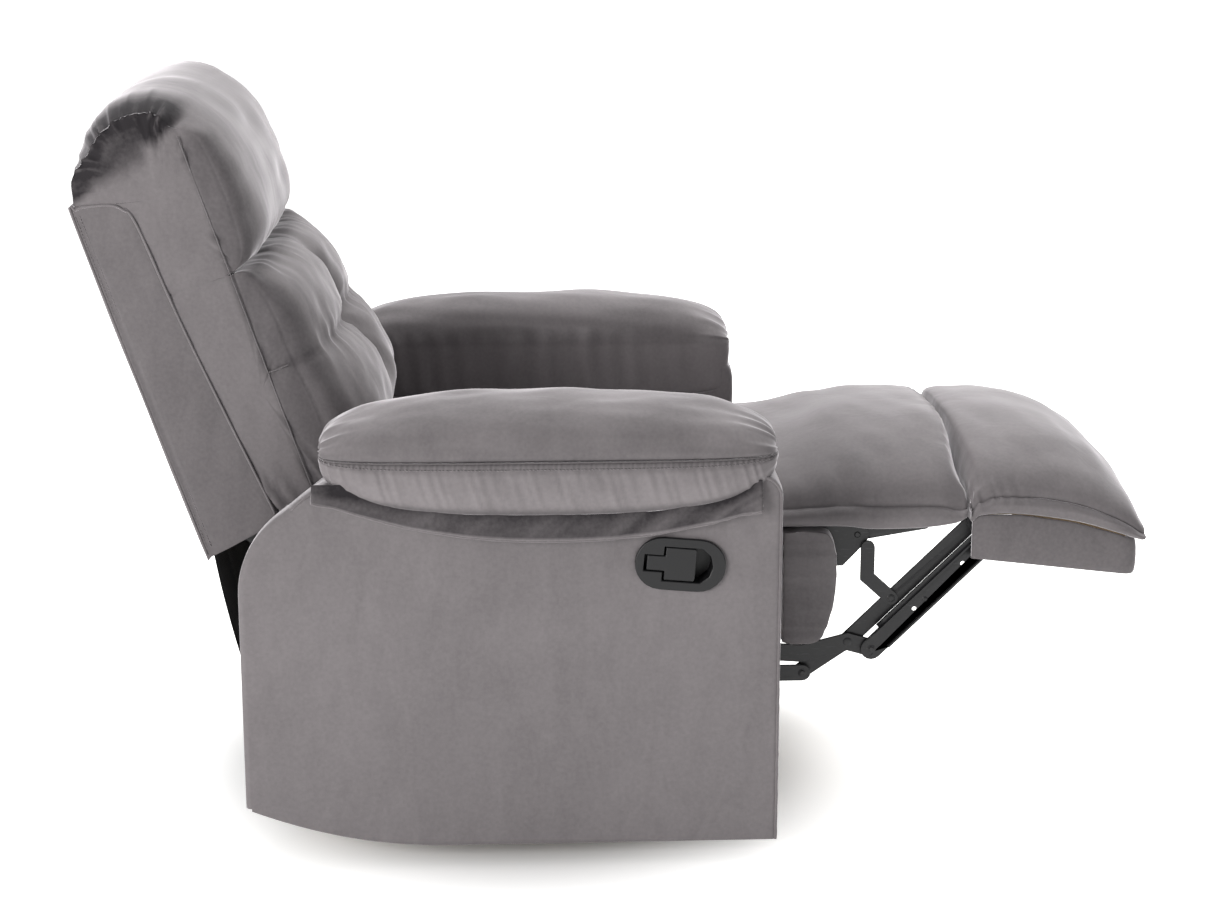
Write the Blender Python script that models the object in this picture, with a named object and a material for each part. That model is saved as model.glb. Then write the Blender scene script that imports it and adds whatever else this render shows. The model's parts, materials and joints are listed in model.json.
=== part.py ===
"""Recliner armchair, built piece by piece in metres.

+X is the way the sitter faces, +Y the sitter's left, +Z up. The origin is on the floor, in the middle
of the chair with its footrest raised. Side outlines are drawn in X and Z and carried across Y.
"""
import math

import bmesh
import bpy
from mathutils import Matrix, Vector

# ---------------------------------------------------------------- driving dimensions
GAP = 0.0003                      # between pieces that touch
CLEAR = 0.0005                    # between moving plates

ARM_OUTER, ARM_INNER = 0.440, 0.280
ARM_REAR, ARM_FRONT = -0.5220, 0.2085
ARM_BOTTOM, ARM_TOP = 0.0300, 0.5520
SKIN = 0.006                      # hardboard and cloth of the arm's cover
PAD_OUTER = 0.455
FLAP_OUTER = 0.4465               # outer face of the skirt under the pad

BODY_HALF = 0.275                 # half the width of back, seat, calf and foot pads
PLATE = 0.004                     # thickness of the linkage plates

# linkage layers, outside faces first: distance of the outer face from the middle plane
LAYER_A, LAYER_B, LAYER_C, LAYER_D = 0.2600, 0.2550, 0.2500, 0.2450

# linkage pivots with the footrest raised
KNEE_PIVOT = (0.197, 0.297)
SHIN_TOP = (0.361, 0.243)
UPPER_SHIN_TOP = (0.327, 0.253)
DRIVE_PIN = (0.262, 0.2085)
FOOT_PIVOT = (0.540, 0.421)
FOOT_PIVOT_2 = (FOOT_PIVOT[0] + UPPER_SHIN_TOP[0] - SHIN_TOP[0],
                FOOT_PIVOT[1] + UPPER_SHIN_TOP[1] - SHIN_TOP[1])
CALF_PIVOT = (0.338, 0.412)
CALF_LINK_PIN = (0.388, 0.318)
TUBE_AXIS = (-0.0656, 0.2653)
CRANK_PIN = (0.0705, 0.2086)
BACK_PIVOT = (-0.490, 0.405)

PIN = 0.004                       # radius of the linkage pins
TUBE = 0.011                      # radius of the torque tube

# the back leans: s runs up it from its lower rear edge, n runs forward across it
BACK_FOOT = Vector((-0.5807, 0.3963))
BACK_LEAN = math.radians(18.65)
UP_BACK = Vector((-math.sin(BACK_LEAN), math.cos(BACK_LEAN)))
ACROSS_BACK = Vector((math.cos(BACK_LEAN), math.sin(BACK_LEAN)))

HANDLE_CENTRE = Vector((0.0710, 0.431))
HANDLE_TILT = math.radians(-5)
HANDLE_ALONG = Vector((math.cos(HANDLE_TILT), math.sin(HANDLE_TILT)))
HANDLE_ACROSS = Vector((-math.sin(HANDLE_TILT), math.cos(HANDLE_TILT)))

SIDES = (("right", -1), ("left", 1))


# ---------------------------------------------------------------- materials
def material(name, colour, roughness, metallic=0.0):
    """A plain Principled finish."""
    made = bpy.data.materials.new(name)
    made.use_nodes = True
    shader = made.node_tree.nodes["Principled BSDF"]
    shader.inputs["Base Color"].default_value = (*colour, 1)
    shader.inputs["Roughness"].default_value = roughness
    shader.inputs["Metallic"].default_value = metallic
    return made


# ---------------------------------------------------------------- shape helpers
def add_object(name, mesh, finish):
    """Put a mesh in the scene under its piece's name."""
    mesh.materials.append(finish)
    made = bpy.data.objects.new(name, mesh)
    bpy.context.scene.collection.objects.link(made)
    return made


def extrude_outline(name, outline, low, high, finish, place=None):
    """A closed outline in X and Z carried across Y from low to high; place maps (u, y, v) to the world."""
    place = place or (lambda u, y, v: (u, y, v))
    shape = bmesh.new()
    near = [shape.verts.new(place(u, low, v)) for u, v in outline]
    far = [shape.verts.new(place(u, high, v)) for u, v in outline]
    shape.faces.new(near)
    shape.faces.new(far[::-1])
    count = len(outline)
    for i in range(count):
        j = (i + 1) % count
        shape.faces.new((near[j], near[i], far[i], far[j]))
    bmesh.ops.recalc_face_normals(shape, faces=shape.faces)
    mesh = bpy.data.meshes.new(name)
    shape.to_mesh(mesh)
    shape.free()
    return add_object(name, mesh, finish)


def block(name, low, high, finish, rounding=0.0):
    """A box between two corners, with its edges rounded."""
    outline = [(low[0], low[2]), (high[0], low[2]), (high[0], high[2]), (low[0], high[2])]
    made = extrude_outline(name, outline, low[1], high[1], finish)
    if rounding:
        bevel(made, rounding)
    return made


def bevel(made, width, segments=2, angle=30):
    """Round the sharp edges of a piece."""
    rounded = made.modifiers.new("rounding", "BEVEL")
    rounded.width = width
    rounded.segments = segments
    rounded.limit_method = "ANGLE"
    rounded.angle_limit = math.radians(angle)


def arc(centre, radius, start, end, steps):
    """Points along an arc, angles in degrees from +X towards +Z."""
    turn = [math.radians(start + (end - start) * i / steps) for i in range(steps + 1)]
    return [(centre[0] + radius * math.cos(t), centre[1] + radius * math.sin(t)) for t in turn]


def strap(path, half_width):
    """The outline of a strap round a path of points, round at both ends and mitred at its bends."""
    points = [Vector(p) for p in path]
    runs = [(b - a).normalized() for a, b in zip(points, points[1:])]
    left = []
    right = []
    for i in range(1, len(points) - 1):
        before, after = runs[i - 1], runs[i]
        normal = Vector((-before.y - after.y, before.x + after.x)).normalized()
        reach = half_width / normal.dot(Vector((-before.y, before.x)))
        left.append(tuple(points[i] + normal * reach))
        right.append(tuple(points[i] - normal * reach))
    first = math.degrees(math.atan2(runs[0].y, runs[0].x))
    last = math.degrees(math.atan2(runs[-1].y, runs[-1].x))
    tail = arc(points[0], half_width, first + 90, first + 270, 8)
    nose = arc(points[-1], half_width, last - 90, last + 90, 8)
    return tail + right + nose + left[::-1]


def cylinder_mesh(radius, length, sides):
    """A cylinder along Y, from y = 0 to y = length."""
    shape = bmesh.new()
    turn = Matrix.Rotation(math.radians(-90), 4, "X") @ Matrix.Translation((0, 0, length / 2))
    bmesh.ops.create_cone(shape, cap_ends=True, segments=sides, radius1=radius, radius2=radius,
                          depth=length, matrix=turn)
    mesh = bpy.data.meshes.new("round")
    shape.to_mesh(mesh)
    shape.free()
    return mesh


def round_bar(name, centre, low, high, radius, finish, sides=16):
    """A round bar along Y between low and high."""
    made = add_object(name, cylinder_mesh(radius, high - low, sides), finish)
    made.location = (centre[0], low, centre[1])
    return made


def combine(made, tools, operation):
    """Cut or join a piece with helper solids, which stay out of the build."""
    for tool in tools:
        tool.hide_render = True
        tool.display_type = "WIRE"
        step = made.modifiers.new(operation.lower(), "BOOLEAN")
        step.operation = operation
        step.solver = "EXACT"
        step.object = tool


def drill(made, places, low, high, radius, finish):
    """Holes along Y through a piece."""
    tools = [round_bar(f"{made.name}_drill_{i}", place, low, high, radius, finish)
             for i, place in enumerate(places)]
    combine(made, tools, "DIFFERENCE")


def rivet(made, place, low, high, finish):
    """A pin along Y that is fixed in the piece."""
    tool = round_bar(f"{made.name}_pin_{len(made.modifiers)}", place, low, high, PIN, finish)
    combine(made, [tool], "UNION")


def side_span(side, outer, thickness=PLATE):
    """The low and high Y of a layer on one side."""
    faces = (side * outer, side * (outer - thickness))
    return min(faces), max(faces)


def back_place(s, n):
    """World X and Z of a point s up the back and n across it."""
    place = BACK_FOOT + UP_BACK * s + ACROSS_BACK * n
    return place.x, place.y


# ---------------------------------------------------------------- arms
def arm_outline(inset=0.0):
    """The arm's side panel: straight in front, swept up at its lower rear, round at its upper rear."""
    low, high = ARM_BOTTOM + inset, ARM_TOP - inset
    rear, front = ARM_REAR + inset, ARM_FRONT - inset
    outline = [(front, low), (-0.250, low)]
    outline += [(-0.316, low + 0.004), (-0.380, low + 0.014), (-0.441, low + 0.026), (-0.506, low + 0.044)]
    outline += [(rear, low + 0.058)]
    outline += arc((rear + 0.135, high - 0.160), 0.135, 180, 122, 6)
    outline += [(-0.385, high)]
    outline += arc((front - 0.030, high - 0.030), 0.030, 90, 0, 4)
    return outline


def arm_cover(word, side, finish):
    """The upholstered box of the arm, open underneath, with a pocket for the handle on the right."""
    low, high = sorted((side * ARM_OUTER, side * ARM_INNER))
    made = extrude_outline(f"arm_cover_{word}", arm_outline(), low, high, finish)
    inner = sorted((side * (ARM_OUTER - SKIN), side * (ARM_INNER + SKIN)))
    hollow = extrude_outline(f"arm_hollow_{word}", arm_outline(SKIN), *inner, finish)
    mouth = block(f"arm_mouth_{word}", (ARM_REAR + 0.055, inner[0], 0.0),
                  (ARM_FRONT - SKIN, inner[1], 0.12), finish)
    throat = sorted((side * 0.270, side * (ARM_INNER + 0.02)))
    door = block(f"arm_door_{word}", (ARM_REAR - 0.05, throat[0], 0.0),
                 (ARM_FRONT - 0.012, throat[1], 0.150), finish)
    tools = [hollow, mouth, door]
    if side < 0:
        tools.append(extrude_outline("handle_cutout", stadium(0.108, 0.058), -0.46, -0.42, finish, in_handle))
        tools.append(block("cable_hole", (-0.120, -0.300, 0.210), (-0.060, -0.270, 0.255), finish, 0.010))
    combine(made, tools, "DIFFERENCE")


def arm_frame(word, side, finish):
    """The plywood board that carries the arm, with a round-cornered opening for the cable."""
    low, high = sorted((side * 0.3000, side * 0.3180))
    outline = [(-0.455, ARM_BOTTOM + 0.020), (-0.400, ARM_BOTTOM), (0.185, ARM_BOTTOM), (0.185, 0.520),
               (-0.380, 0.520), (-0.455, 0.440)]
    made = extrude_outline(f"arm_frame_{word}", outline, low, high, finish)
    opening = block(f"arm_frame_opening_{word}", (-0.300, low - 0.01, 0.190), (0.060, high + 0.01, 0.400),
                    finish, 0.030)
    combine(made, [opening], "DIFFERENCE")


def arm_pad(word, side, finish):
    """The stuffed pad on the arm: its section in Y and Z is carried along X."""
    section = [(0.2795, ARM_TOP + GAP), (FLAP_OUTER + GAP, ARM_TOP + GAP), (FLAP_OUTER + GAP, 0.512),
               (0.4520, 0.514), (PAD_OUTER, 0.530), (PAD_OUTER, 0.598), (0.442, 0.626), (0.405, 0.645),
               (0.355, 0.651), (0.315, 0.644), (0.288, 0.622), (0.2795, 0.590)]
    made = extrude_outline(f"arm_pad_{word}", section, -0.405, 0.204, finish,
                           lambda across, along, up: (along, side * across, up))
    bevel(made, 0.003, 2, 60)


def arm_flap(word, side, finish):
    """The gathered skirt that hangs from the pad's outer edge over the side panel."""
    hem = [(-0.4177 + 0.5987 * i / 12, 0.469 + 0.052 * abs(2 * (i / 12) - 1.08) ** 2.2) for i in range(13)]
    top = ARM_TOP - 0.0040
    outline = [(-0.4075, top)] + hem + [(0.1730, 0.531), (0.1800, top)]
    low, high = sorted((side * (ARM_OUTER + 0.0015), side * FLAP_OUTER))
    extrude_outline(f"arm_flap_{word}", outline[::-1], low, high, finish)


# ---------------------------------------------------------------- handle
def in_handle(u, y, v):
    """World place of a point u forward and v up in the tilted handle."""
    place = HANDLE_CENTRE + HANDLE_ALONG * u + HANDLE_ACROSS * v
    return place.x, y, place.y


def stadium(length, height, corner=None):
    """A round-ended outline about the handle's centre."""
    corner = corner or height / 2
    reach_u, reach_v = length / 2 - corner, height / 2 - corner
    outline = []
    for start, u, v in ((0, 1, 1), (90, -1, 1), (180, -1, -1), (270, 1, -1)):
        outline += arc((u * reach_u, v * reach_v), corner, start, start + 90, 6)
    return [point for point, after in zip(outline, outline[1:] + outline[:1])
            if (Vector(point) - Vector(after)).length > 1e-6]


def handle(plastic):
    """The bezel with its pocket, and the pull lever that swings out of it."""
    face = ARM_OUTER + GAP
    bezel = extrude_outline("handle_bezel", stadium(0.123, 0.073), -(face + 0.0055), -face,
                            plastic, in_handle)
    cup = extrude_outline("handle_cup", stadium(0.106, 0.056), -(face + 0.001), -0.4130,
                          plastic, in_handle)
    # the pocket's rear edge leaves room for the paddle's shoulders as they swing out
    pocket = extrude_outline("handle_pocket", [(-0.0236, -0.024), (0.028, -0.024), (0.040, -0.014),
                             (0.044, 0.0), (0.040, 0.014), (0.028, 0.024), (-0.0236, 0.024)],
                             -0.50, -0.4160, plastic, in_handle)
    stem_slot = extrude_outline("handle_stem_slot", [(-0.0495, -0.0115), (-0.020, -0.0115),
                                (-0.020, 0.0115), (-0.0495, 0.0115)], -0.50, -0.4160, plastic, in_handle)
    combine(bezel, [cup], "UNION")
    combine(bezel, [pocket, stem_slot], "DIFFERENCE")

    outline = [(-0.0455, -0.0105), (-0.0210, -0.0105), (-0.0210, -0.0230), (0.019, -0.0230),
               (0.021, -0.0200), (0.021, 0.0200), (0.019, 0.0230), (-0.0210, 0.0230),
               (-0.0210, 0.0105), (-0.0455, 0.0105)]
    lever = extrude_outline("release_lever", outline, -(face + 0.0045), -0.4370, plastic, in_handle)
    bevel(lever, 0.001, 1)


# ---------------------------------------------------------------- base and seat frame
def base(steel, wood, rubber):
    """Feet, cross tubes, rails and the blocks that hold the seat plates."""
    for word, side in SIDES:
        for end, along in (("front", 0.130), ("rear", -0.380)):
            foot = round_bar(f"foot_{end}_{word}", (0, 0), 0, ARM_BOTTOM - GAP, 0.019, rubber, 24)
            foot.rotation_euler = (math.radians(90), 0, 0)
            foot.location = (along, side * 0.309, 0)
        low, high = sorted((side * 0.2620, side * (0.3000 - GAP)))
        rail = block(f"base_rail_{word}", (-0.420, low, 0.0903), (0.170, high, 0.1400), wood)
        low, high = sorted((side * (LAYER_C + GAP), side * 0.2700))
        packer = block(f"rail_packer_{word}", (-0.260, low, 0.100), (-0.190, high, 0.136), wood)
        combine(rail, [packer], "UNION")
    reach = 0.3000 - GAP
    for end, along in (("front", 0.090), ("rear", -0.400)):
        block(f"base_tube_{end}", (along - 0.0125, -reach, 0.0550), (along + 0.0125, reach, 0.0900),
              steel, 0.003)


def seat_frame(wood, spring):
    """Four rails, and five zigzag springs with two tie wires, under the seat cushion."""
    outer, inner = LAYER_C - PLATE - CLEAR, 0.2250
    low_z, high_z = 0.345, 0.4120
    front, rear = 0.2180, -0.4000
    for word, side in SIDES:
        low, high = sorted((side * outer, side * inner))
        block(f"seat_rail_{word}", (rear, low, low_z), (front, high, high_z), wood, 0.002)
    reach = inner - GAP
    block("seat_rail_front", (front - 0.022, -reach, low_z), (front, reach, high_z), wood, 0.002)
    block("seat_rail_rear", (rear, -reach, low_z), (rear + 0.022, reach, high_z), wood, 0.002)
    wire = 0.0018
    start, end = rear + 0.004, front - 0.004
    level = high_z + wire + GAP
    zigzags = []
    for i in range(5):
        middle = -0.176 + 0.088 * i
        bends = 15
        path = []
        for k in range(bends * 3 + 1):
            share = k / (bends * 3)
            swing = math.sin(share * bends * math.pi)
            path.append((start + (end - start) * share, middle + 0.020 * swing, level))
        zigzags.append(solid_tube(f"zigzag_{i + 1}", path, wire, spring))
    ties = [solid_tube(f"spring_tie_{i + 1}",
                       [(along, -0.215, level + 0.0008), (along, 0.215, level + 0.0008)],
                       wire, spring) for i, along in enumerate((-0.220, 0.055))]
    ties[0].name = "seat_springs"
    combine(ties[0], zigzags + ties[1:], "UNION")


def tube(name, path, radius, finish, resolution=1):
    """A round wire along a path."""
    curve = bpy.data.curves.new(name, "CURVE")
    curve.dimensions = "3D"
    curve.bevel_depth = radius
    curve.bevel_resolution = resolution
    curve.use_fill_caps = True
    spline = curve.splines.new("POLY")
    spline.points.add(len(path) - 1)
    for point, place in zip(spline.points, path):
        point.co = (*place, 1)
    curve.materials.append(finish)
    made = bpy.data.objects.new(name, curve)
    bpy.context.scene.collection.objects.link(made)
    return made


def solid_tube(name, path, radius, finish):
    """A wire as a mesh, so that others can be joined to it."""
    curve = tube(name, path, radius, finish)
    mesh = bpy.data.meshes.new_from_object(curve)
    bpy.data.objects.remove(curve)
    made = bpy.data.objects.new(name, mesh)
    bpy.context.scene.collection.objects.link(made)
    return made


def release_cable(finish):
    """The cable from the handle down inside the arm and through its frame to the linkage."""
    stops = [(0.030, -0.4120 + 0.004, 0.431), (0.012, -0.392, 0.425), (-0.005, -0.374, 0.390),
             (-0.020, -0.362, 0.340), (-0.040, -0.345, 0.290), (-0.060, -0.320, 0.255),
             (-0.080, -0.292, 0.236), (-0.100, -0.268, 0.228)]
    points = [Vector(p) for p in stops]
    path = []
    for i in range(len(points) - 1):
        a, b, c, d = (points[max(i + k, 0) if i + k < len(points) else -1] for k in (-1, 0, 1, 2))
        for step in range(4):
            t = step / 4
            path.append(0.5 * (2 * b + (c - a) * t + (2 * a - 5 * b + 4 * c - d) * t * t
                               + (3 * b - a - 3 * c + d) * t ** 3))
    path.append(points[-1])
    tube("release_cable", path, 0.003, finish, 2)


# ---------------------------------------------------------------- linkage
def linkage(steel):
    """The plates, links and tube that raise and fold the footrest, the same on both sides."""
    for word, side in SIDES:
        seat_plate(word, side, steel)

        low, high = side_span(side, LAYER_B)
        dog_leg = [KNEE_PIVOT, (0.208, 0.240), (0.262, 0.2360), UPPER_SHIN_TOP, SHIN_TOP]
        knee = extrude_outline(f"knee_link_{word}", strap(dog_leg, 0.013), low, high, steel)
        deep, shallow = sorted((side * (LAYER_C - PLATE - 0.002), side * (LAYER_B - 0.001)))
        rivet(knee, KNEE_PIVOT, deep, shallow, steel)
        rivet(knee, UPPER_SHIN_TOP, deep, shallow, steel)
        out_low, out_high = sorted((side * (LAYER_B - 0.001), side * (LAYER_A + 0.002)))
        rivet(knee, SHIN_TOP, out_low, out_high, steel)

        shin_channel(word, side, steel)

        low, high = side_span(side, LAYER_C)
        bar = strap([DRIVE_PIN, UPPER_SHIN_TOP, FOOT_PIVOT_2], 0.012)
        upper = extrude_outline(f"upper_shin_{word}", bar, low, high, steel)
        drill(upper, [UPPER_SHIN_TOP, FOOT_PIVOT_2], low - 0.01, high + 0.01, PIN + CLEAR, steel)
        out_low, out_high = sorted((side * (LAYER_C - 0.001), side * (LAYER_B + 0.001)))
        rivet(upper, CALF_LINK_PIN, out_low, out_high, steel)
        out_low, out_high = sorted((side * (LAYER_C - 0.001), side * (LAYER_A + 0.002)))
        rivet(upper, DRIVE_PIN, out_low, out_high, steel)

        low, high = side_span(side, LAYER_A)
        drive = extrude_outline(f"drive_link_{word}", strap([CRANK_PIN, DRIVE_PIN], 0.012), low, high, steel)
        drill(drive, [CRANK_PIN, DRIVE_PIN], low - 0.01, high + 0.01, PIN + 0.0010, steel)

        low, high = side_span(side, LAYER_B)
        bent = strap([CALF_LINK_PIN, (0.353, 0.350), (0.353, 0.394)], 0.010)
        calf_link = extrude_outline(f"calf_link_{word}", bent, low, high, steel)
        drill(calf_link, [CALF_LINK_PIN], low - 0.01, high + 0.01, PIN + CLEAR, steel)

        foot_bracket(word, side, steel)
        calf_bracket(word, side, steel)
        back_bracket(word, side, steel)
    torque_tube(steel)


def seat_plate(word, side, steel):
    """The side plate: pivots of knee, calf, tube and back, and a leg down to the base."""
    low, high = side_span(side, LAYER_C)
    outline = [(-0.270, 0.097), (-0.180, 0.097), (-0.165, 0.300)]
    outline += [(-0.090, 0.290)] + arc(TUBE_AXIS, 0.022, 215, 325, 6) + [(-0.020, 0.290), (0.160, 0.290)]
    outline += arc(KNEE_PIVOT, 0.018, 220, 360, 8)
    outline += [(0.2150, 0.360), (0.300, 0.366), (0.318, 0.366)]
    outline += [(0.352, 0.402)] + arc(CALF_PIVOT, 0.0165, 0, 75, 4)
    outline += [(0.290, 0.4280), (-0.300, 0.4200), (-0.440, 0.4200)]
    outline += arc(BACK_PIVOT, 0.0190, 70, 290, 8)
    outline += [(-0.400, 0.380), (-0.300, 0.340)]
    plate = extrude_outline(f"seat_plate_{word}", outline, low, high, steel)
    drill(plate, [KNEE_PIVOT, CALF_PIVOT, BACK_PIVOT], low - 0.01, high + 0.01, PIN + CLEAR, steel)
    bearing = round_bar(f"tube_bearing_{word}", TUBE_AXIS, low - 0.01, high + 0.01, TUBE + CLEAR, steel)
    combine(plate, [bearing], "DIFFERENCE")


def shin_channel(word, side, steel):
    """The wide lower link: a channel with turned edges, open towards the middle of the chair."""
    low, high = side_span(side, LAYER_A)
    start, end = Vector(SHIN_TOP), Vector(FOOT_PIVOT)
    channel = extrude_outline(f"shin_channel_{word}", strap([start, end], 0.0155), low, high, steel)
    drill(channel, [SHIN_TOP, FOOT_PIVOT], low - 0.01, high + 0.01, PIN + CLEAR, steel)
    run = (end - start).normalized()
    up = Vector((-run.y, run.x))
    for edge, sign in (("upper", 1), ("lower", -1)):
        corners = [start + run * 0.020 + up * sign * 0.0122, end - run * 0.030 + up * sign * 0.0122,
                   end - run * 0.030 + up * sign * 0.0151, start + run * 0.020 + up * sign * 0.0151]
        lip_low, lip_high = sorted((side * (LAYER_A - 0.001), side * (LAYER_A + 0.005)))
        lip = extrude_outline(f"shin_lip_{edge}_{word}", [tuple(c) for c in corners],
                              lip_low, lip_high, steel)
        combine(channel, [lip], "UNION")
    holes = [tuple(start + run * share) for share in (0.085, 0.180)]
    drill(channel, holes, low - 0.01, high + 0.01, 0.0035, steel)


def foot_bracket(word, side, steel):
    """The plate under the foot board that both shin links hold."""
    low, high = side_span(side, LAYER_B)
    outline = [(0.4930, 0.4310)]
    outline += arc(FOOT_PIVOT_2, 0.0130, 180, 270, 3)
    outline += arc(FOOT_PIVOT, 0.0130, 250, 330, 3)
    outline += [(0.640, 0.4090), (0.640, 0.4225), (0.560, 0.4355), (0.4930, 0.4355)]
    bracket = extrude_outline(f"foot_bracket_{word}", outline, low, high, steel)
    out_low, out_high = sorted((side * (LAYER_B - 0.001), side * (LAYER_A + 0.002)))
    rivet(bracket, FOOT_PIVOT, out_low, out_high, steel)
    in_low, in_high = sorted((side * (LAYER_B - 0.003), side * (LAYER_D - 0.001)))
    rivet(bracket, FOOT_PIVOT_2, in_low, in_high, steel)


def calf_bracket(word, side, steel):
    """The hanger under the calf board that turns on the seat plate's horn."""
    low, high = side_span(side, LAYER_D)
    outline = arc(CALF_PIVOT, 0.0130, 180, 315, 6) + [(0.440, 0.4180), (0.440, 0.4320), (0.325, 0.4320)]
    bracket = extrude_outline(f"calf_bracket_{word}", outline, low, high, steel)
    out_low, out_high = sorted((side * (LAYER_D - 0.001), side * (LAYER_C + 0.001)))
    rivet(bracket, CALF_PIVOT, out_low, out_high, steel)


def back_bracket(word, side, steel):
    """The hinge strap from the seat plate up the side of the back's frame."""
    low, high = side_span(side, LAYER_B)
    path = [BACK_PIVOT, back_place(0.045, 0.048), back_place(0.210, 0.048)]
    bracket = extrude_outline(f"back_bracket_{word}", strap(path, 0.014), low, high, steel)
    in_low, in_high = sorted((side * (LAYER_B - 0.001), side * (LAYER_D - 0.001)))
    rivet(bracket, BACK_PIVOT, in_low, in_high, steel)


def torque_tube(steel):
    """The tube across the chair with a crank at each end."""
    reach = LAYER_B - PLATE + 0.001
    shaft = round_bar("torque_tube", TUBE_AXIS, -reach, reach, TUBE, steel, 20)
    for word, side in SIDES:
        low, high = side_span(side, LAYER_B)
        crank = extrude_outline(f"crank_{word}", strap([TUBE_AXIS, CRANK_PIN], 0.0135), low, high, steel)
        combine(shaft, [crank], "UNION")
        out_low, out_high = sorted((side * (LAYER_B - 0.001), side * (LAYER_A + 0.002)))
        rivet(shaft, CRANK_PIN, out_low, out_high, steel)


# ---------------------------------------------------------------- soft parts, footrest and back
def seat(fabric):
    """The seat cushion and the padded apron in front of it."""
    outline = [(-0.400, 0.4290), (0.300, 0.4290), (0.306, 0.450), (0.304, 0.480), (0.285, 0.500),
               (0.100, 0.512), (-0.150, 0.510), (-0.370, 0.500), (-0.400, 0.480)]
    cushion = extrude_outline("seat_cushion", outline, -BODY_HALF, BODY_HALF, fabric)
    bevel(cushion, 0.010, 2, 50)
    outline = [(0.2300, 0.4260), (0.298, 0.4260), (0.306, 0.400), (0.3105, 0.370), (0.3080, 0.317),
               (0.2930, 0.268), (0.278, 0.256), (0.2300, 0.2590)]
    apron = extrude_outline("front_apron", outline[::-1], -BODY_HALF, BODY_HALF, fabric)
    slots = []
    for word, side in SIDES:
        low, high = sorted((side * (LAYER_D - 0.0010), side * (LAYER_C + 0.0012)))
        slots.append(block(f"apron_slot_{word}", (0.20, low, 0.340), (0.33, high, 0.45), fabric))
    combine(apron, slots, "DIFFERENCE")


def calf(fabric, wood):
    """The middle panel of the footrest."""
    block("calf_board", (0.322, -0.262, 0.4323), (0.462, 0.262, 0.4420), wood, 0.001)
    outline = [(0.318, 0.4423), (0.466, 0.4423), (0.470, 0.470), (0.466, 0.495), (0.450, 0.507),
               (0.345, 0.510), (0.322, 0.500)]
    pad = extrude_outline("calf_pad", outline, -BODY_HALF, BODY_HALF, fabric)
    bevel(pad, 0.008, 2, 50)


def foot(fabric, wood):
    """The end panel: board, pad, and the upholstered tray of side and toe walls below it."""
    board = [(0.4970, 0.4360), (0.560, 0.4360), (0.640, 0.4230), (0.726, 0.3990), (0.729, 0.4080),
             (0.642, 0.4330), (0.562, 0.4450), (0.4970, 0.4450)]
    extrude_outline("foot_board", board, -0.2395, 0.2395, wood)
    skirt = [(0.4970, 0.3800), (0.503, 0.3775), (0.730, 0.3530), (0.738, 0.400), (0.735, 0.4040),
             (0.640, 0.4300), (0.565, 0.4420), (0.4970, 0.4450)]
    wall = extrude_outline("foot_skirt", skirt, -(BODY_HALF - 0.002), BODY_HALF - 0.002, fabric)
    inside = [(0.48, 0.30), (0.726, 0.30), (0.7295, 0.4100), (0.642, 0.4345), (0.562, 0.4480), (0.48, 0.4600)]
    cavity = extrude_outline("foot_skirt_inside", inside, -0.2665, 0.2665, fabric)
    combine(wall, [cavity], "DIFFERENCE")
    outline = [(0.4990, 0.4455), (0.562, 0.4455), (0.642, 0.4340), (0.700, 0.4180), (0.743, 0.4045),
               (0.7475, 0.410), (0.7475, 0.432), (0.744, 0.455), (0.722, 0.476), (0.655, 0.502),
               (0.570, 0.510), (0.515, 0.508), (0.500, 0.490)]
    pad = extrude_outline("foot_pad", outline, -BODY_HALF, BODY_HALF, fabric)
    bevel(pad, 0.006, 2, 50)


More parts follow.
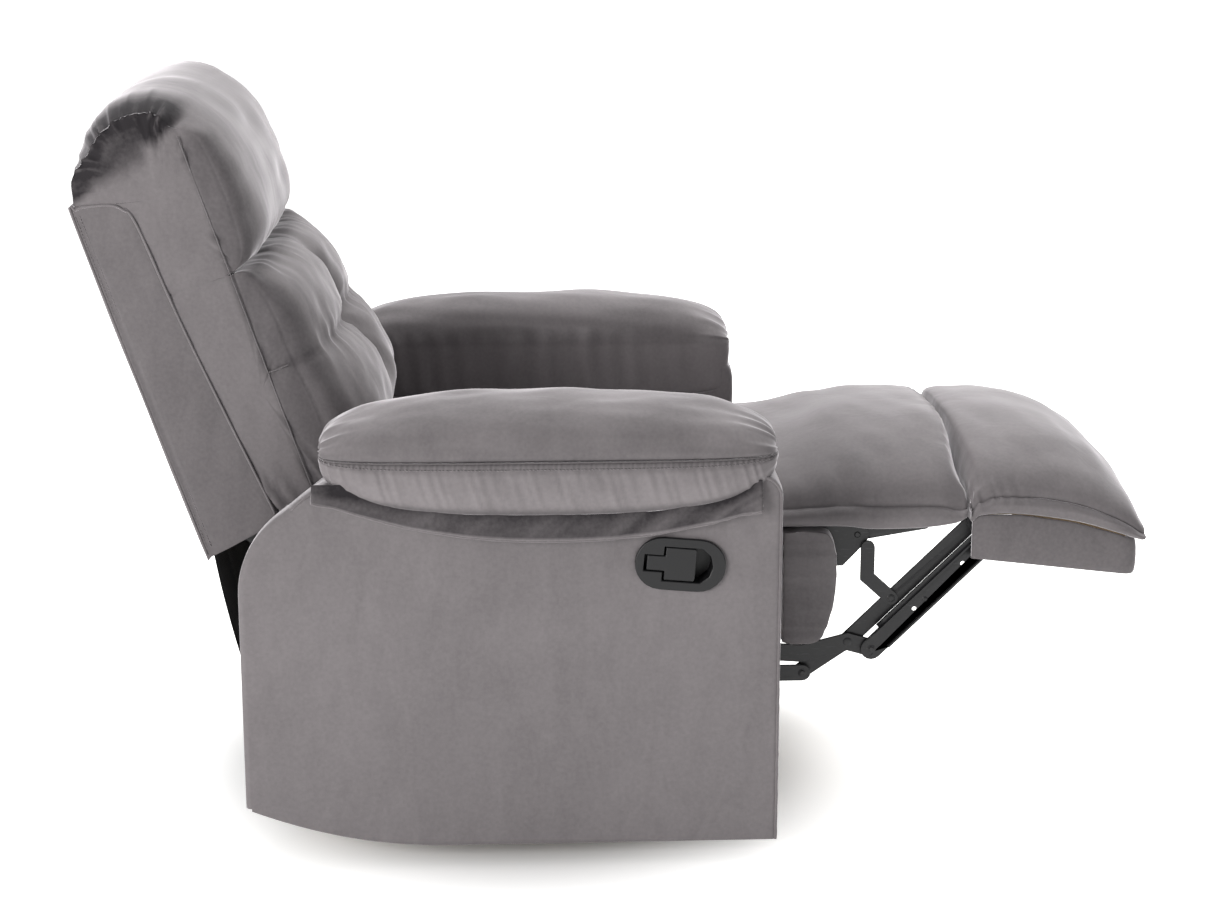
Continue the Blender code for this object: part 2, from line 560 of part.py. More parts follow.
def back(fabric, wood, cloth):
    """The reclining back: wooden frame, upholstered shell, two pillows, and the dust cloth below it."""
    stile = [back_place(0.045, 0.026), back_place(0.045, 0.072),
             back_place(0.490, 0.064), back_place(0.490, 0.026)]
    for word, side in SIDES:
        low, high = sorted((side * 0.2280, side * (LAYER_B - PLATE - CLEAR)))
        extrude_outline(f"back_stile_{word}", stile, low, high, wood)
    reach = 0.2280 - GAP
    for end, start in (("bottom", 0.050), ("top", 0.440)):
        rail = [back_place(start, 0.028), back_place(start, 0.062), back_place(start + 0.045, 0.062),
                back_place(start + 0.045, 0.028)]
        extrude_outline(f"back_rail_{end}", rail, -reach, reach, wood)

    outer = [(0.0, 0.0), (0.030, 0.1155), (0.300, 0.0900), (0.473, 0.0815), (0.509, 0.060), (0.520, 0.021),
             (0.520, 0.0)]
    shell = extrude_outline("back_shell", [back_place(*p) for p in outer], -BODY_HALF, BODY_HALF, fabric)
    inner = [(-0.05, 0.006), (-0.05, 0.200), (0.300, 0.200), (0.468, 0.200), (0.505, 0.057), (0.514, 0.020),
             (0.514, 0.006)]
    hollow = extrude_outline("back_hollow", [back_place(*p) for p in inner],
                             -(BODY_HALF - SKIN), BODY_HALF - SKIN, fabric)
    combine(shell, [hollow], "DIFFERENCE")

    lower = [(0.036, 0.1185), (0.028, 0.160), (0.040, 0.190), (0.060, 0.230), (0.110, 0.252),
             (0.160, 0.258), (0.225, 0.252), (0.290, 0.252), (0.340, 0.240), (0.3665, 0.215),
             (0.3665, 0.0895), (0.300, 0.0925)]
    pillow = extrude_outline("back_pillow", [back_place(*p) for p in lower], -BODY_HALF, BODY_HALF, fabric)
    bevel(pillow, 0.008, 2, 50)
    upper = [(0.3670, 0.0895), (0.3670, 0.212), (0.410, 0.233), (0.470, 0.236), (0.540, 0.226),
             (0.585, 0.203), (0.625, 0.165), (0.631, 0.130), (0.615, 0.081), (0.580, 0.038),
             (0.545, 0.026), (0.5215, 0.024), (0.512, 0.0610), (0.474, 0.0835)]
    head = extrude_outline("head_pillow", [back_place(*p) for p in upper], -BODY_HALF, BODY_HALF, fabric)
    bevel(head, 0.005, 2, 50)
    sheet = [(-0.490, 0.145), (-0.500, 0.145), (-0.520, 0.330), (-0.510, 0.330)]
    extrude_outline("dust_cloth", sheet, -0.262, 0.262, cloth)


# ---------------------------------------------------------------- assembly
def build():
    """Clear the scene and model every piece."""
    for old in list(bpy.data.objects):
        bpy.data.objects.remove(old)
    velvet = material("grey_velvet", (0.115, 0.106, 0.100), 0.85)
    steel = material("black_steel", (0.020, 0.020, 0.021), 0.45, 0.4)
    wood = material("plywood", (0.45, 0.30, 0.16), 0.65)
    plastic = material("black_plastic", (0.016, 0.016, 0.017), 0.35)
    cloth = material("black_cloth", (0.012, 0.012, 0.013), 0.95)
    spring = material("spring_steel", (0.50, 0.50, 0.50), 0.35, 1.0)
    for word, side in SIDES:
        arm_cover(word, side, velvet)
        arm_frame(word, side, wood)
        arm_pad(word, side, velvet)
        arm_flap(word, side, velvet)
    handle(plastic)
    release_cable(cloth)
    base(steel, wood, plastic)
    seat_frame(wood, spring)
    linkage(steel)
    seat(velvet)
    calf(velvet, wood)
    foot(velvet, wood)
    back(velvet, wood, cloth)


build()
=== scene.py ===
"""Looks of a recliner armchair in grey velvet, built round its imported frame.

+X is the way the sitter faces, +Y the sitter's left, +Z up, in metres. Soft pieces are lofts: rings of
points worked out as whole arrays and carried along one axis, with folds added along their normals.
"""
import json
import math
from contextlib import contextmanager

import bmesh
import bpy
import numpy as np
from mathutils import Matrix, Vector


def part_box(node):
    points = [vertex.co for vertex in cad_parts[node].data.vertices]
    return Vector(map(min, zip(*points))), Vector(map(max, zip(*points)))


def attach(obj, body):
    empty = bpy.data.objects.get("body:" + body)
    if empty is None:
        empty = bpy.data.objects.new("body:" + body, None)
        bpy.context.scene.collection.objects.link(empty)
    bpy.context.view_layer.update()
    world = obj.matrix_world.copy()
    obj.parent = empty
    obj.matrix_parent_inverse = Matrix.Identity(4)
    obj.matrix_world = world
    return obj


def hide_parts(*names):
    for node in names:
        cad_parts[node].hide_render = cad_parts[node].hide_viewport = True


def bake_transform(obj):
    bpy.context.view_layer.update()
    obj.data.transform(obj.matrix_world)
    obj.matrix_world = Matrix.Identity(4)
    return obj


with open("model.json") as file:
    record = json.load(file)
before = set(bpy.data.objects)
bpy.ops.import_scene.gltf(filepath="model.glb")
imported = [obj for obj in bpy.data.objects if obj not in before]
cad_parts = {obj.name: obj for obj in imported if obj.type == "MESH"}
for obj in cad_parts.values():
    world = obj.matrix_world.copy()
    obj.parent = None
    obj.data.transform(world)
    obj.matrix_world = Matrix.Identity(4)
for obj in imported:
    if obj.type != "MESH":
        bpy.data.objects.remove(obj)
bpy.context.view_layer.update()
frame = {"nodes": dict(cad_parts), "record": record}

SIDES = (("right", -1), ("left", 1))

# ---- sizes, from the frame where it holds them
ARM_LOW, ARM_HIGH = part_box("arm_cover_left")
ARM_OUTER, ARM_INNER = ARM_HIGH.y, ARM_LOW.y
ARM_REAR, ARM_FRONT = ARM_LOW.x, ARM_HIGH.x
ARM_BOTTOM, ARM_TOP = ARM_LOW.z, ARM_HIGH.z
BODY_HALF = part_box("seat_cushion")[1].y
BACK_LEAN = math.radians(18.65)   # from upright, at rest
UP_BACK = np.array([-math.sin(BACK_LEAN), math.cos(BACK_LEAN)])
ACROSS_BACK = np.array([math.cos(BACK_LEAN), math.sin(BACK_LEAN)])
BACK_FOOT = np.array([-0.5807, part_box("back_shell")[0].z])   # X and Z of the shell's lower rear edge


# ---- number helpers
def drift(points, size, seed, stretch=(1, 1, 1)):
    """Smooth wandering between about -1 and 1: the mean of twelve sine waves in random directions."""
    rng = np.random.default_rng(seed)
    headings = unit(rng.normal(size=(12, 3)))
    waves = headings * (2 * np.pi / (size * rng.uniform(0.7, 1.5, 12)))[:, None]
    phases = rng.uniform(0, 2 * np.pi, 12)
    return np.sin((points * np.array(stretch)) @ waves.T + phases).mean(-1) * 2.2


def ripple(along, length, seed):
    """Uneven pleats along a line: sharp-crested sine waves whose spacing wanders."""
    rng = np.random.default_rng(seed)
    a, b, c = rng.uniform(0, 2 * np.pi, 3)
    turn = 2 * np.pi * along / length
    bent = turn + 0.9 * np.sin(turn * 0.37 + a) + 0.5 * np.sin(turn * 0.81 + b)
    return (1 - np.abs(np.sin(bent / 2)) ** 0.8 * 2) * (0.65 + 0.35 * np.sin(turn * 0.23 + c))


def ease(value, low, high):
    """0 below low, 1 above high, smooth between; low may be the larger."""
    t = np.clip((value - low) / (high - low), 0, 1)
    return t * t * (3 - 2 * t)


def bell(value, middle, width):
    """A bump of height 1 at middle that fades over width."""
    return np.exp(-((value - middle) / width) ** 2)


def round_off(t, power):
    """Superellipse: 1 at t = 0, falling to 0 at t = -1 and 1."""
    return np.clip(1 - np.abs(t) ** power, 0, 1) ** (1 / power)


def spread(x, y, z):
    """Points from three arrays that share or stretch to one shape."""
    return np.stack(np.broadcast_arrays(x, y, z), -1)


def unit(vectors):
    """The same directions at length 1."""
    return vectors / (np.linalg.norm(vectors, axis=-1, keepdims=True) + 1e-12)


def lengths(line):
    """How far along a line each of its points lies."""
    return np.r_[0, np.cumsum(np.linalg.norm(np.diff(line, axis=0), axis=1))]


def read_along(line, at):
    """The points at given lengths along a line."""
    steps = lengths(line)
    return np.stack([np.interp(at, steps, column) for column in line.T], 1)


def circle(count):
    """Angles evenly round a circle."""
    return np.linspace(0, 2 * np.pi, count, endpoint=False)


def smooth_loop(points, count, closed=True):
    """A smooth line through points: a Catmull-Rom spline, read at equal lengths along it."""
    points = np.asarray(points, float)
    if closed:
        grown = np.vstack([points[-1:], points, points[:2]])
    else:
        grown = np.vstack([2 * points[:1] - points[1:2], points, 2 * points[-1:] - points[-2:-1]])
    t = np.linspace(0, 1, 12, endpoint=False)[None, :, None]
    a, b, c, d = (grown[i:len(grown) - 3 + i, None] for i in range(4))
    line = 0.5 * (2 * b + (c - a) * t + (2 * a - 5 * b + 4 * c - d) * t ** 2
                  + (3 * b - a - 3 * c + d) * t ** 3)
    line = line.reshape(-1, points.shape[1])
    line = np.vstack([line, points[:1] if closed else points[-1:]])
    read = read_along(line, np.linspace(0, lengths(line)[-1], count + 1 if closed else count))
    return read[:-1] if closed else read


def crown_spacing(count):
    """Numbers from -1 to 1, closer together near both ends."""
    return np.sin(np.linspace(-np.pi / 2, np.pi / 2, count))


# ---- mesh helpers
def added(name, data):
    """A new object in the scene."""
    made = bpy.data.objects.new(name, data)
    bpy.context.scene.collection.objects.link(made)
    return made


@contextmanager
def editing(mesh):
    """The mesh opened for bmesh work, and written back afterwards."""
    shape = bmesh.new()
    shape.from_mesh(mesh)
    yield shape
    shape.to_mesh(mesh)
    shape.free()


def piece(name, vertices, faces, finish):
    """A smooth-shaded object from points and faces, turned right side out by its volume."""
    mesh = bpy.data.meshes.new(name)
    mesh.from_pydata(np.asarray(vertices).tolist(), [], faces)
    mesh.update()
    with editing(mesh) as shape:
        if shape.calc_volume(signed=True) < 0:
            bmesh.ops.reverse_faces(shape, faces=shape.faces)
    mesh.polygons.foreach_set("use_smooth", np.ones(len(mesh.polygons), bool))
    mesh.materials.append(finish)
    return added(name, mesh)


def grid_faces(rows, columns, around):
    """Quads between neighbouring points of a grid, closed across its columns where asked."""
    index = np.arange(rows * columns).reshape(rows, columns)
    if around:
        index = np.hstack([index, index[:, :1]])
    quads = np.stack([index[:-1, :-1], index[1:, :-1], index[1:, 1:], index[:-1, 1:]], -1)
    return quads.reshape(-1, 4).tolist()


def loft(name, rings, finish, nap=None, ladder=False):
    """Closed rings joined one after the other, with a point at each end, or with rungs across the end rings
    from each point of the first half to its partner in the second. An optional number at each point
    lightens the velvet above 0 and darkens it below 0: partly pile tone that varies at random, mostly
    painted light and shade."""
    rows, columns = rings.shape[:2]
    faces = grid_faces(rows, columns, True)
    base = (rows - 1) * columns
    points = rings.reshape(-1, 3)
    if ladder:
        rungs = [(i, i + 1, columns - 2 - i, columns - 1 - i) for i in range(columns // 2 - 1)]
        faces += rungs
        faces += [tuple(base + i for i in rung[::-1]) for rung in rungs]
    else:
        ring = range(columns)
        after = [*range(1, columns), 0]
        faces += [(i, j, len(points)) for i, j in zip(ring, after)]
        faces += [(base + j, base + i, len(points) + 1) for i, j in zip(ring, after)]
        points = np.vstack([points, rings[0].mean(0), rings[-1].mean(0)])
    made = piece(name, points, faces, finish)
    if nap is not None:
        brush(made, np.r_[nap.ravel(), nap[0].mean(), nap[-1].mean()][:len(points)])
    return made


def brush(made, nap):
    """Store at every point how much to lighten or darken the velvet: random pile tone and painted light and
    shade.
    """
    layer = made.data.attributes.new("nap", "FLOAT", "POINT")
    layer.data.foreach_set("value", np.ascontiguousarray(nap, dtype=np.float32))


def sheet_piece(name, grid, thickness, finish):
    """A grid of points as a sheet with a real thickness."""
    made = piece(name, grid.reshape(-1, 3), grid_faces(*grid.shape[:2], False), finish)
    wall = made.modifiers.new("thickness", "SOLIDIFY")
    wall.thickness = thickness
    wall.offset = 0
    return made


def normals(rings):
    """Outward unit normals of lofted rings, from the differences between neighbours."""
    along = np.gradient(rings, axis=0)
    around = np.roll(rings, -1, 1) - np.roll(rings, 1, 1)
    out = unit(np.cross(along, around))
    away = ((rings - rings.mean(1, keepdims=True)) * out).sum()
    return out * np.sign(away)


def capped(rings, bulge, steps, middles=None):
    """Adds rings that shrink towards their middle points and close both sides with half of an ellipse."""
    turn = np.linspace(0, np.pi / 2, steps + 1)[1:-1]
    if middles is None:
        middles = np.broadcast_to(rings.mean(1, keepdims=True), rings.shape)
    out = [rings]
    for row, order, sign in ((0, slice(None, None, -1), -1), (-1, slice(None), 1)):
        lid = middles[row] + (rings[row] - middles[row]) * np.cos(turn)[:, None, None]
        lid[..., 1] += sign * bulge * np.sin(turn)[:, None]
        out = [lid[order]] + out if sign < 0 else out + [lid[order]]
    return np.concatenate(out)


def tube(name, path, radius, finish, flat=(0, 1, 0), sides=8):
    """A round cord along a path that stays square to the flat direction."""
    path = np.asarray(path, float)
    run = unit(np.gradient(path, axis=0))
    side = unit(np.cross(run, flat))
    up = np.cross(side, run)
    turn = circle(sides)
    rings = (path[:, None] + radius * (np.cos(turn)[:, None] * side[:, None]
                                       + np.sin(turn)[:, None] * up[:, None]))
    return loft(name, rings, finish)


def stitches(name, path, finish):
    """A row of short stitches: each a six-sided spindle laid along the path."""
    pitch, length, thick = 0.0048, 0.0034, 0.00075
    path = np.asarray(path, float)
    at = np.arange(pitch, lengths(path)[-1], pitch)
    middle = read_along(path, at)
    run = unit(read_along(path, at + length / 2) - middle)
    side = unit(np.cross(run, (0, 1, 0)))
    up = np.cross(side, run)
    turn = circle(6)
    spread = thick * (np.cos(turn)[:, None] * side[:, None] + np.sin(turn)[:, None] * up[:, None])
    offsets = ((-0.5, 0.15), (-0.3, 1.0), (0.3, 1.0), (0.5, 0.15))
    rings = np.stack([middle[:, None] + run[:, None] * length * o + spread * w for o, w in offsets], 1)
    one = grid_faces(4, 6, True) + [tuple(range(6)), tuple(range(23, 17, -1))]
    faces = [tuple(v + 24 * k for v in face) for k in range(len(at)) for face in one]
    return piece(name, rings.reshape(-1, 3), faces, finish)


def refined(node, finish, width):
    """A copy of a hard frame piece with its edges broken and its round faces smooth."""
    sharp = math.radians(30)
    source = frame["nodes"][node]
    mesh = source.data.copy()
    with editing(mesh) as shape:
        bmesh.ops.remove_doubles(shape, verts=shape.verts, dist=1e-5)
        bmesh.ops.dissolve_limit(shape, angle_limit=math.radians(2), verts=shape.verts, edges=shape.edges)
    mesh.materials.clear()
    mesh.materials.append(finish)
    made = added(f"{node}_finished", mesh)
    edge = made.modifiers.new("edges", "BEVEL")
    edge.width = width
    edge.segments = 2
    edge.limit_method = "ANGLE"
    edge.angle_limit = sharp
    mesh.set_sharp_from_angle(angle=sharp)
    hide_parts(node)
    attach(made, body_of[node])


body_of = {node: body for body, nodes in frame["record"]["behaviour"]["bodies"].items() for node in nodes}
slot_of = {row["node"]: row["material_slot"] for row in frame["record"]["subparts"]}


# ---- materials
class Wire:
    """A number travelling through a material; arithmetic on it adds Math nodes."""

    def __init__(self, finish, socket):
        self.finish = finish
        self.socket = socket

    def math(self, operation, *values):
        return self.finish.node("ShaderNodeMath", {"operation": operation}, dict(enumerate(values)))

    def __add__(self, other):
        return self.math("ADD", self, other)

    def __mul__(self, other):
        return self.math("MULTIPLY", self, other)

    __radd__ = __add__
    __rmul__ = __mul__


class Finish:
    """A material with one Principled shader."""

    def __init__(self, name, **constants):
        self.material = bpy.data.materials.new(name)
        self.material.use_nodes = True
        self.tree = self.material.node_tree
        self.shader = self.tree.nodes["Principled BSDF"]
        for socket, value in constants.items():
            self.shader.inputs[socket.replace("_", " ").title().replace("Ior", "IOR")].default_value = value

    def node(self, kind, settings=None, inputs=None, output=0):
        """Adds a node: its settings first, then the values or links of its sockets."""
        made = self.tree.nodes.new(kind)
        for key, value in (settings or {}).items():
            setattr(made, key, value)
        for key, value in (inputs or {}).items():
            if isinstance(value, Wire):
                self.tree.links.new(value.socket, made.inputs[key])
            else:
                made.inputs[key].default_value = value
        return Wire(self, made.outputs[output])

    def feed(self, socket, wire):
        self.tree.links.new(wire.socket, self.shader.inputs[socket])

    def place(self, scale=(1, 1, 1), turn=(0, 0, 0)):
        """Object coordinates, stretched and turned."""
        here = self.node("ShaderNodeTexCoord", output=3)
        return self.node("ShaderNodeMapping", {}, {"Vector": here, "Scale": scale, "Rotation": turn})

    def noise(self, vector, scale, detail=3.0, distortion=0.0):
        return self.node("ShaderNodeTexNoise", {}, {"Vector": vector, "Scale": scale, "Detail": detail,
                                                    "Distortion": distortion})

    def mix(self, factor, low, high):
        """Colour between low and high."""
        inputs = {0: factor, 6: (*low, 1), 7: (*high, 1)}
        return self.node("ShaderNodeMix", {"data_type": "RGBA"}, inputs, output=2)

    def bump(self, *layers):
        """Bump nodes one after the other: each layer is a height, its depth in metres and strength."""
        last = None
        for height, depth, strength in layers:
            inputs = {"Height": height, "Distance": depth, "Strength": strength}
            if last:
                inputs["Normal"] = last
            last = self.node("ShaderNodeBump", {}, inputs)
        self.feed("Normal", last)


def velvet(name, tone=1.0, seed=0.0):
    """Short-pile velvet: pile brushed into light and dark clouds, fine pile, and a soft sheen; a number
    stored at each point lightens or darkens it further, mostly as painted light and shade.
    """
    finish = Finish(name, roughness=0.82, sheen_weight=0.95, sheen_roughness=0.3,
                    sheen_tint=(0.86, 0.83, 0.86, 1), specular_ior_level=0.22)
    here = finish.place(turn=(seed, seed * 0.7, 0))
    broad = finish.noise(here, 4.2, 2.0, 0.8)
    brushed = finish.noise(finish.place(scale=(1.0, 1.0, 0.35), turn=(0.2, 0.5 + seed, 0)), 23.0, 4.0, 1.4)
    pile = finish.noise(here, 1400.0, 2.0)
    mottle = finish.noise(here, 190.0, 3.0)
    nap = finish.node("ShaderNodeAttribute", {"attribute_name": "nap"}, output=2)
    light = broad * 0.3 + brushed * 0.34 + mottle * 0.36
    level = finish.node("ShaderNodeMapRange", {}, {"Value": light, "From Min": 0.35, "From Max": 0.65,
                                                   "To Min": 0.43, "To Max": 0.57})
    # the stored number added here is mostly painted light and shade, partly random pile tone
    level = finish.node("ShaderNodeClamp", {}, {"Value": level + nap})
    dark = tuple(c * tone for c in (0.014, 0.012, 0.014))
    pale = tuple(c * tone for c in (0.248, 0.229, 0.235))
    finish.feed("Base Color", finish.mix(level, dark, pale))
    finish.feed("Roughness", 0.7 + pile * 0.22)
    finish.bump((broad, 0.004, 0.15), (brushed, 0.0016, 0.28), (pile, 0.0002, 0.3))
    return finish.material


def moulded(name):
    """Satin black moulding with a fine grain."""
    finish = Finish(name, base_color=(0.008, 0.008, 0.009, 1), specular_ior_level=0.35)
    grain = finish.noise(finish.place(), 900.0, 2.0)
    finish.feed("Roughness", 0.34 + grain * 0.16)
    finish.feed("Base Color", finish.mix(grain, (0.004, 0.004, 0.0045), (0.008, 0.008, 0.009)))
    finish.bump((grain, 0.0002, 0.25))
    return finish.material


def painted_steel(name):
    """Thin black paint on pressed steel: a slight ripple, and scuffs that show a greyer coat."""
    finish = Finish(name, metallic=0.25, specular_ior_level=0.5)
    here = finish.place()
    orange = finish.noise(here, 260.0, 2.0)
    scuff = finish.noise(finish.place(scale=(1, 1, 6), turn=(0.3, 0.7, 0.2)), 60.0, 5.0, 0.6)
    worn = finish.node("ShaderNodeMapRange", {}, {"Value": scuff, "From Min": 0.6, "From Max": 0.74})
    finish.feed("Base Color", finish.mix(worn, (0.01, 0.01, 0.011), (0.034, 0.034, 0.036)))
    finish.feed("Roughness", 0.36 + orange * 0.14 + worn * 0.15)
    finish.bump((orange, 0.0003, 0.25))
    return finish.material


def plywood(name):
    """Pale plywood: long grain with darker streaks and edge plies."""
    finish = Finish(name, specular_ior_level=0.35)
    grain = finish.noise(finish.place(scale=(2.0, 40.0, 40.0)), 3.0, 6.0, 0.5)
    plies = finish.node("ShaderNodeTexWave", {"bands_direction": "Y"},
                        {"Vector": finish.place(), "Scale": 120.0, "Distortion": 0.6})
    level = grain * 0.75 + plies * 0.25
    finish.feed("Base Color", finish.mix(level, (0.34, 0.22, 0.11), (0.62, 0.46, 0.28)))
    finish.feed("Roughness", 0.55 + grain * 0.2)
    finish.bump((grain, 0.0004, 0.3))
    return finish.material


def lining(name):
    """Thin black lining cloth with an open weave."""
    finish = Finish(name, sheen_weight=0.1, specular_ior_level=0.15)
    here = finish.place()
    warp = finish.node("ShaderNodeTexWave", {"bands_direction": "Y"}, {"Vector": here, "Scale": 320.0})
    weft = finish.node("ShaderNodeTexWave", {"bands_direction": "Z"}, {"Vector": here, "Scale": 320.0})
    weave = warp * 0.5 + weft * 0.5
    finish.feed("Base Color", finish.mix(weave, (0.004, 0.004, 0.005), (0.014, 0.014, 0.015)))
    finish.feed("Roughness", 0.85 + weave * 0.1)
    finish.bump((weave, 0.0003, 0.4))
    return finish.material


def wire_steel(name):
    """Drawn steel wire with a dull zinc skin."""
    finish = Finish(name, metallic=1.0)
    skin = finish.noise(finish.place(), 300.0, 3.0)
    finish.feed("Base Color", finish.mix(skin, (0.32, 0.32, 0.33), (0.55, 0.55, 0.56)))
    finish.feed("Roughness", 0.28 + skin * 0.25)
    finish.bump((skin, 0.0002, 0.2))
    return finish.material


VELVET = velvet("velvet")
VELVET_BOX = velvet("velvet_boxing", 1.0, 0.9)
THREAD = velvet("velvet_thread", 0.75, 2.3)
PLASTIC = moulded("black_plastic")
STEEL = painted_steel("black_steel")
WOOD = plywood("plywood")
CLOTH = lining("black_cloth")
SPRING = wire_steel("spring_steel")
FINISHES = {"grey_velvet": VELVET, "black_plastic": PLASTIC, "black_steel": STEEL, "plywood": WOOD,
            "black_cloth": CLOTH, "spring_steel": SPRING}


def settle(made, body, *nodes, fill=None, slot="grey_velvet"):
    """Hide the frame pieces that a piece replaces, and hang it on its body."""
    if nodes:
        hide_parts(*nodes)
    if body:
        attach(made, body)
    return made


# ---- arms
PAD_MIDDLE = 0.37                 # how far out the pad's middle lies
PAD_REACH = 0.0915                # half its width
PAD_SEAM = 0.578                  # height of the seam between top and roll
PAD_RISE = 0.074                  # from the seam to the crown
PAD_BACK, PAD_FRONT = -0.4115, 0.204
SKIRT_REAR, SKIRT_FRONT, SKIRT_TOP = -0.419, 0.1795, 0.548
HEM_REAR, HEM_RUN, HEM_LOW, HEM_SWEEP = -0.4177, 0.5987, 0.469, 0.052
NOSE_ROUND, HEEL_ROUND, HEEL_DROP = 0.03, 0.135, 0.16
HEEL_LIFT = 0.058                 # how far the lower edge rises at the rear
CASE_EDGE = 0.0085                # how round the case's edges are
CASE_WALL = 0.0045
HANDLE_TILT = math.radians(-5)
SLOT_HALF, SLOT_ROUND = 0.025, 0.0295
# shares of half-width and height round the arm pad: outer seam, top, inner side, underside, roll
PAD_SECTION = [(0.97, 0), (0.98, 0.2), (0.89, 0.5), (0.66, 0.75), (0.28, 0.91), (-0.12, 0.975),
               (-0.48, 0.95), (-0.78, 0.77), (-0.95, 0.46), (-1.02, 0.16), (-1.04, -0.2),
               (-1.04, -0.65), (-1.03, -1.02), (-1, -1.12), (-0.96, -1), (-0.9, -0.33), (-0.45, -0.325),
               (0, -0.325), (0.45, -0.325), (0.7, -0.33), (0.775, -0.42), (0.8, -0.72), (0.835, -0.96),
               (0.885, -1), (0.985, -0.86), (1.055, -0.55), (1.035, -0.24), (0.978, -0.045)]


def arm_pad(word, side):
    """Arm pad: a section of top, roll and flat underside, shrunk to its seam level at both ends.

    Its height follows a superellipse of power 2.6 along the arm, its width one of power 5.
    """
    t = crown_spacing(290) * 0.9985
    section = smooth_loop(PAD_SECTION, 168)
    x = (PAD_BACK + PAD_FRONT) / 2 + (PAD_FRONT - PAD_BACK) / 2 * t
    wide, tall = round_off(t, 5.0), round_off(t, 2.6)
    across, up = section[None, :, 0], section[None, :, 1]
    inside = ease(section[:, 0], -0.6, -0.9)[None]
    wide_all = wide[:, None] * (1 - inside) + round_off(t, 14.0)[:, None] * inside
    hang = inside * ease(section[:, 1], 0.1, -0.2)[None]
    tall_all = tall[:, None] * (1 - hang) + round_off(t, 9.0)[:, None] * hang
    rings = spread(x[:, None], PAD_MIDDLE + PAD_REACH * across * wide_all,
                   PAD_SEAM + PAD_RISE * up * tall_all)
    out = normals(rings)
    outer = ease(across, 0.55, 0.9) * np.ones_like(rings[..., 0])
    roll = outer * ease(up, -0.06, -0.2) * ease(up, -1.0, -0.75)
    seam = outer * bell(up, 0.0, 0.034)
    topstitch = outer * bell(up, -0.125, 0.035)
    front = ease(t, 0.72, 0.98)[:, None]
    rear = ease(t, -0.8, -0.98)[:, None]
    top = ease(up, 0.1, 0.5)
    x_all = rings[..., 0]
    lean = x_all + 0.25 * (rings[..., 2] - PAD_SEAM)
    push = -0.0044 * seam - 0.0016 * topstitch
    crumpled = drift(np.stack([lean * 3.2, 0 * lean, rings[..., 2]], -1), 0.075, 14 + side)
    crumpled = np.clip(crumpled, -0.9, 0.9) * (0.55 + 0.45 * drift(rings, 0.12, 5))
    push += 0.0026 * roll * crumpled
    push += 0.001 * roll * ripple(x_all + 0.3 * rings[..., 2], 0.014, 3)
    inner = ease(across, -0.8, -0.95) * ease(up, 0.45, 0.0)
    pulled = drift(np.stack([x_all * 2.6, 0 * lean, rings[..., 2] * 0.6], -1), 0.075, 12)
    push += 0.0024 * inner * pulled * ease(up, -1.08, -0.9)
    push += 0.0015 * top * drift(rings, 0.11, 21 + side) * (1 - 0.5 * front)
    push += 0.0011 * top * drift(rings, 0.035, 22, (0.35, 1, 1))
    heading = np.arctan2(up, across)
    push += front * 0.003 * ripple(heading * 0.05, 0.02, 31) * (0.25 + top) * 0.7
    push += rear * 0.0024 * ripple(heading * 0.05, 0.022, 33) * (0.25 + top) * 0.6
    ticks = outer * ease(up, -0.135, -0.1) * ease(up, -0.01, -0.035) * np.sin(x_all * 2 * np.pi / 0.0078)
    push += 0.0007 * ticks
    # Painted light and shade: the roll band lighter and its wrinkles and stitch ticks lighter on their
    # crests; painted shade in the seam, on the flank below the crown and under the roll; painted light on
    # the inner side and its pulls. The drift on the top is random pile tone.
    nap = 0.12 * roll + 0.05 * roll * crumpled - 0.42 * seam + 0.07 * ticks
    nap = nap + 0.1 * top * drift(rings, 0.16, 24) - 0.09 * ease(up, 0.45, 0.05) * ease(up, -0.02, 0.02)
    nap = nap - 0.2 * outer * ease(up, -0.8, -0.97) + 0.08 * inner
    nap = nap + 0.04 * inner * pulled
    rings = rings + out * push[..., None]
    rings[..., 1] *= side
    settle(loft(f"arm_cushion_{word}", rings, VELVET, nap), "root", f"arm_pad_{word}", fill=0.7)

    row = PAD_SEAM - 0.125 * PAD_RISE * tall
    keep = slice(6, -6)
    line = spread(x, side * (PAD_MIDDLE + PAD_REACH * wide + 0.0001), row + 0.0006)[keep]
    settle(stitches(f"arm_topstitch_{word}", line, THREAD), "root")
    line = spread(x, side * (PAD_MIDDLE + PAD_REACH * 0.972 * wide), PAD_SEAM + 0.0002)[keep]
    settle(tube(f"arm_seam_{word}", line, 0.0011, THREAD, (0, 0, 1), 6), "root")


def hem_height(x):
    """The skirt's lower edge: lowest a little behind the middle, swept up to both ends."""
    share = (x - HEM_REAR) / HEM_RUN
    return HEM_LOW + HEM_SWEEP * np.abs(2 * share - 1.08) ** 2.2


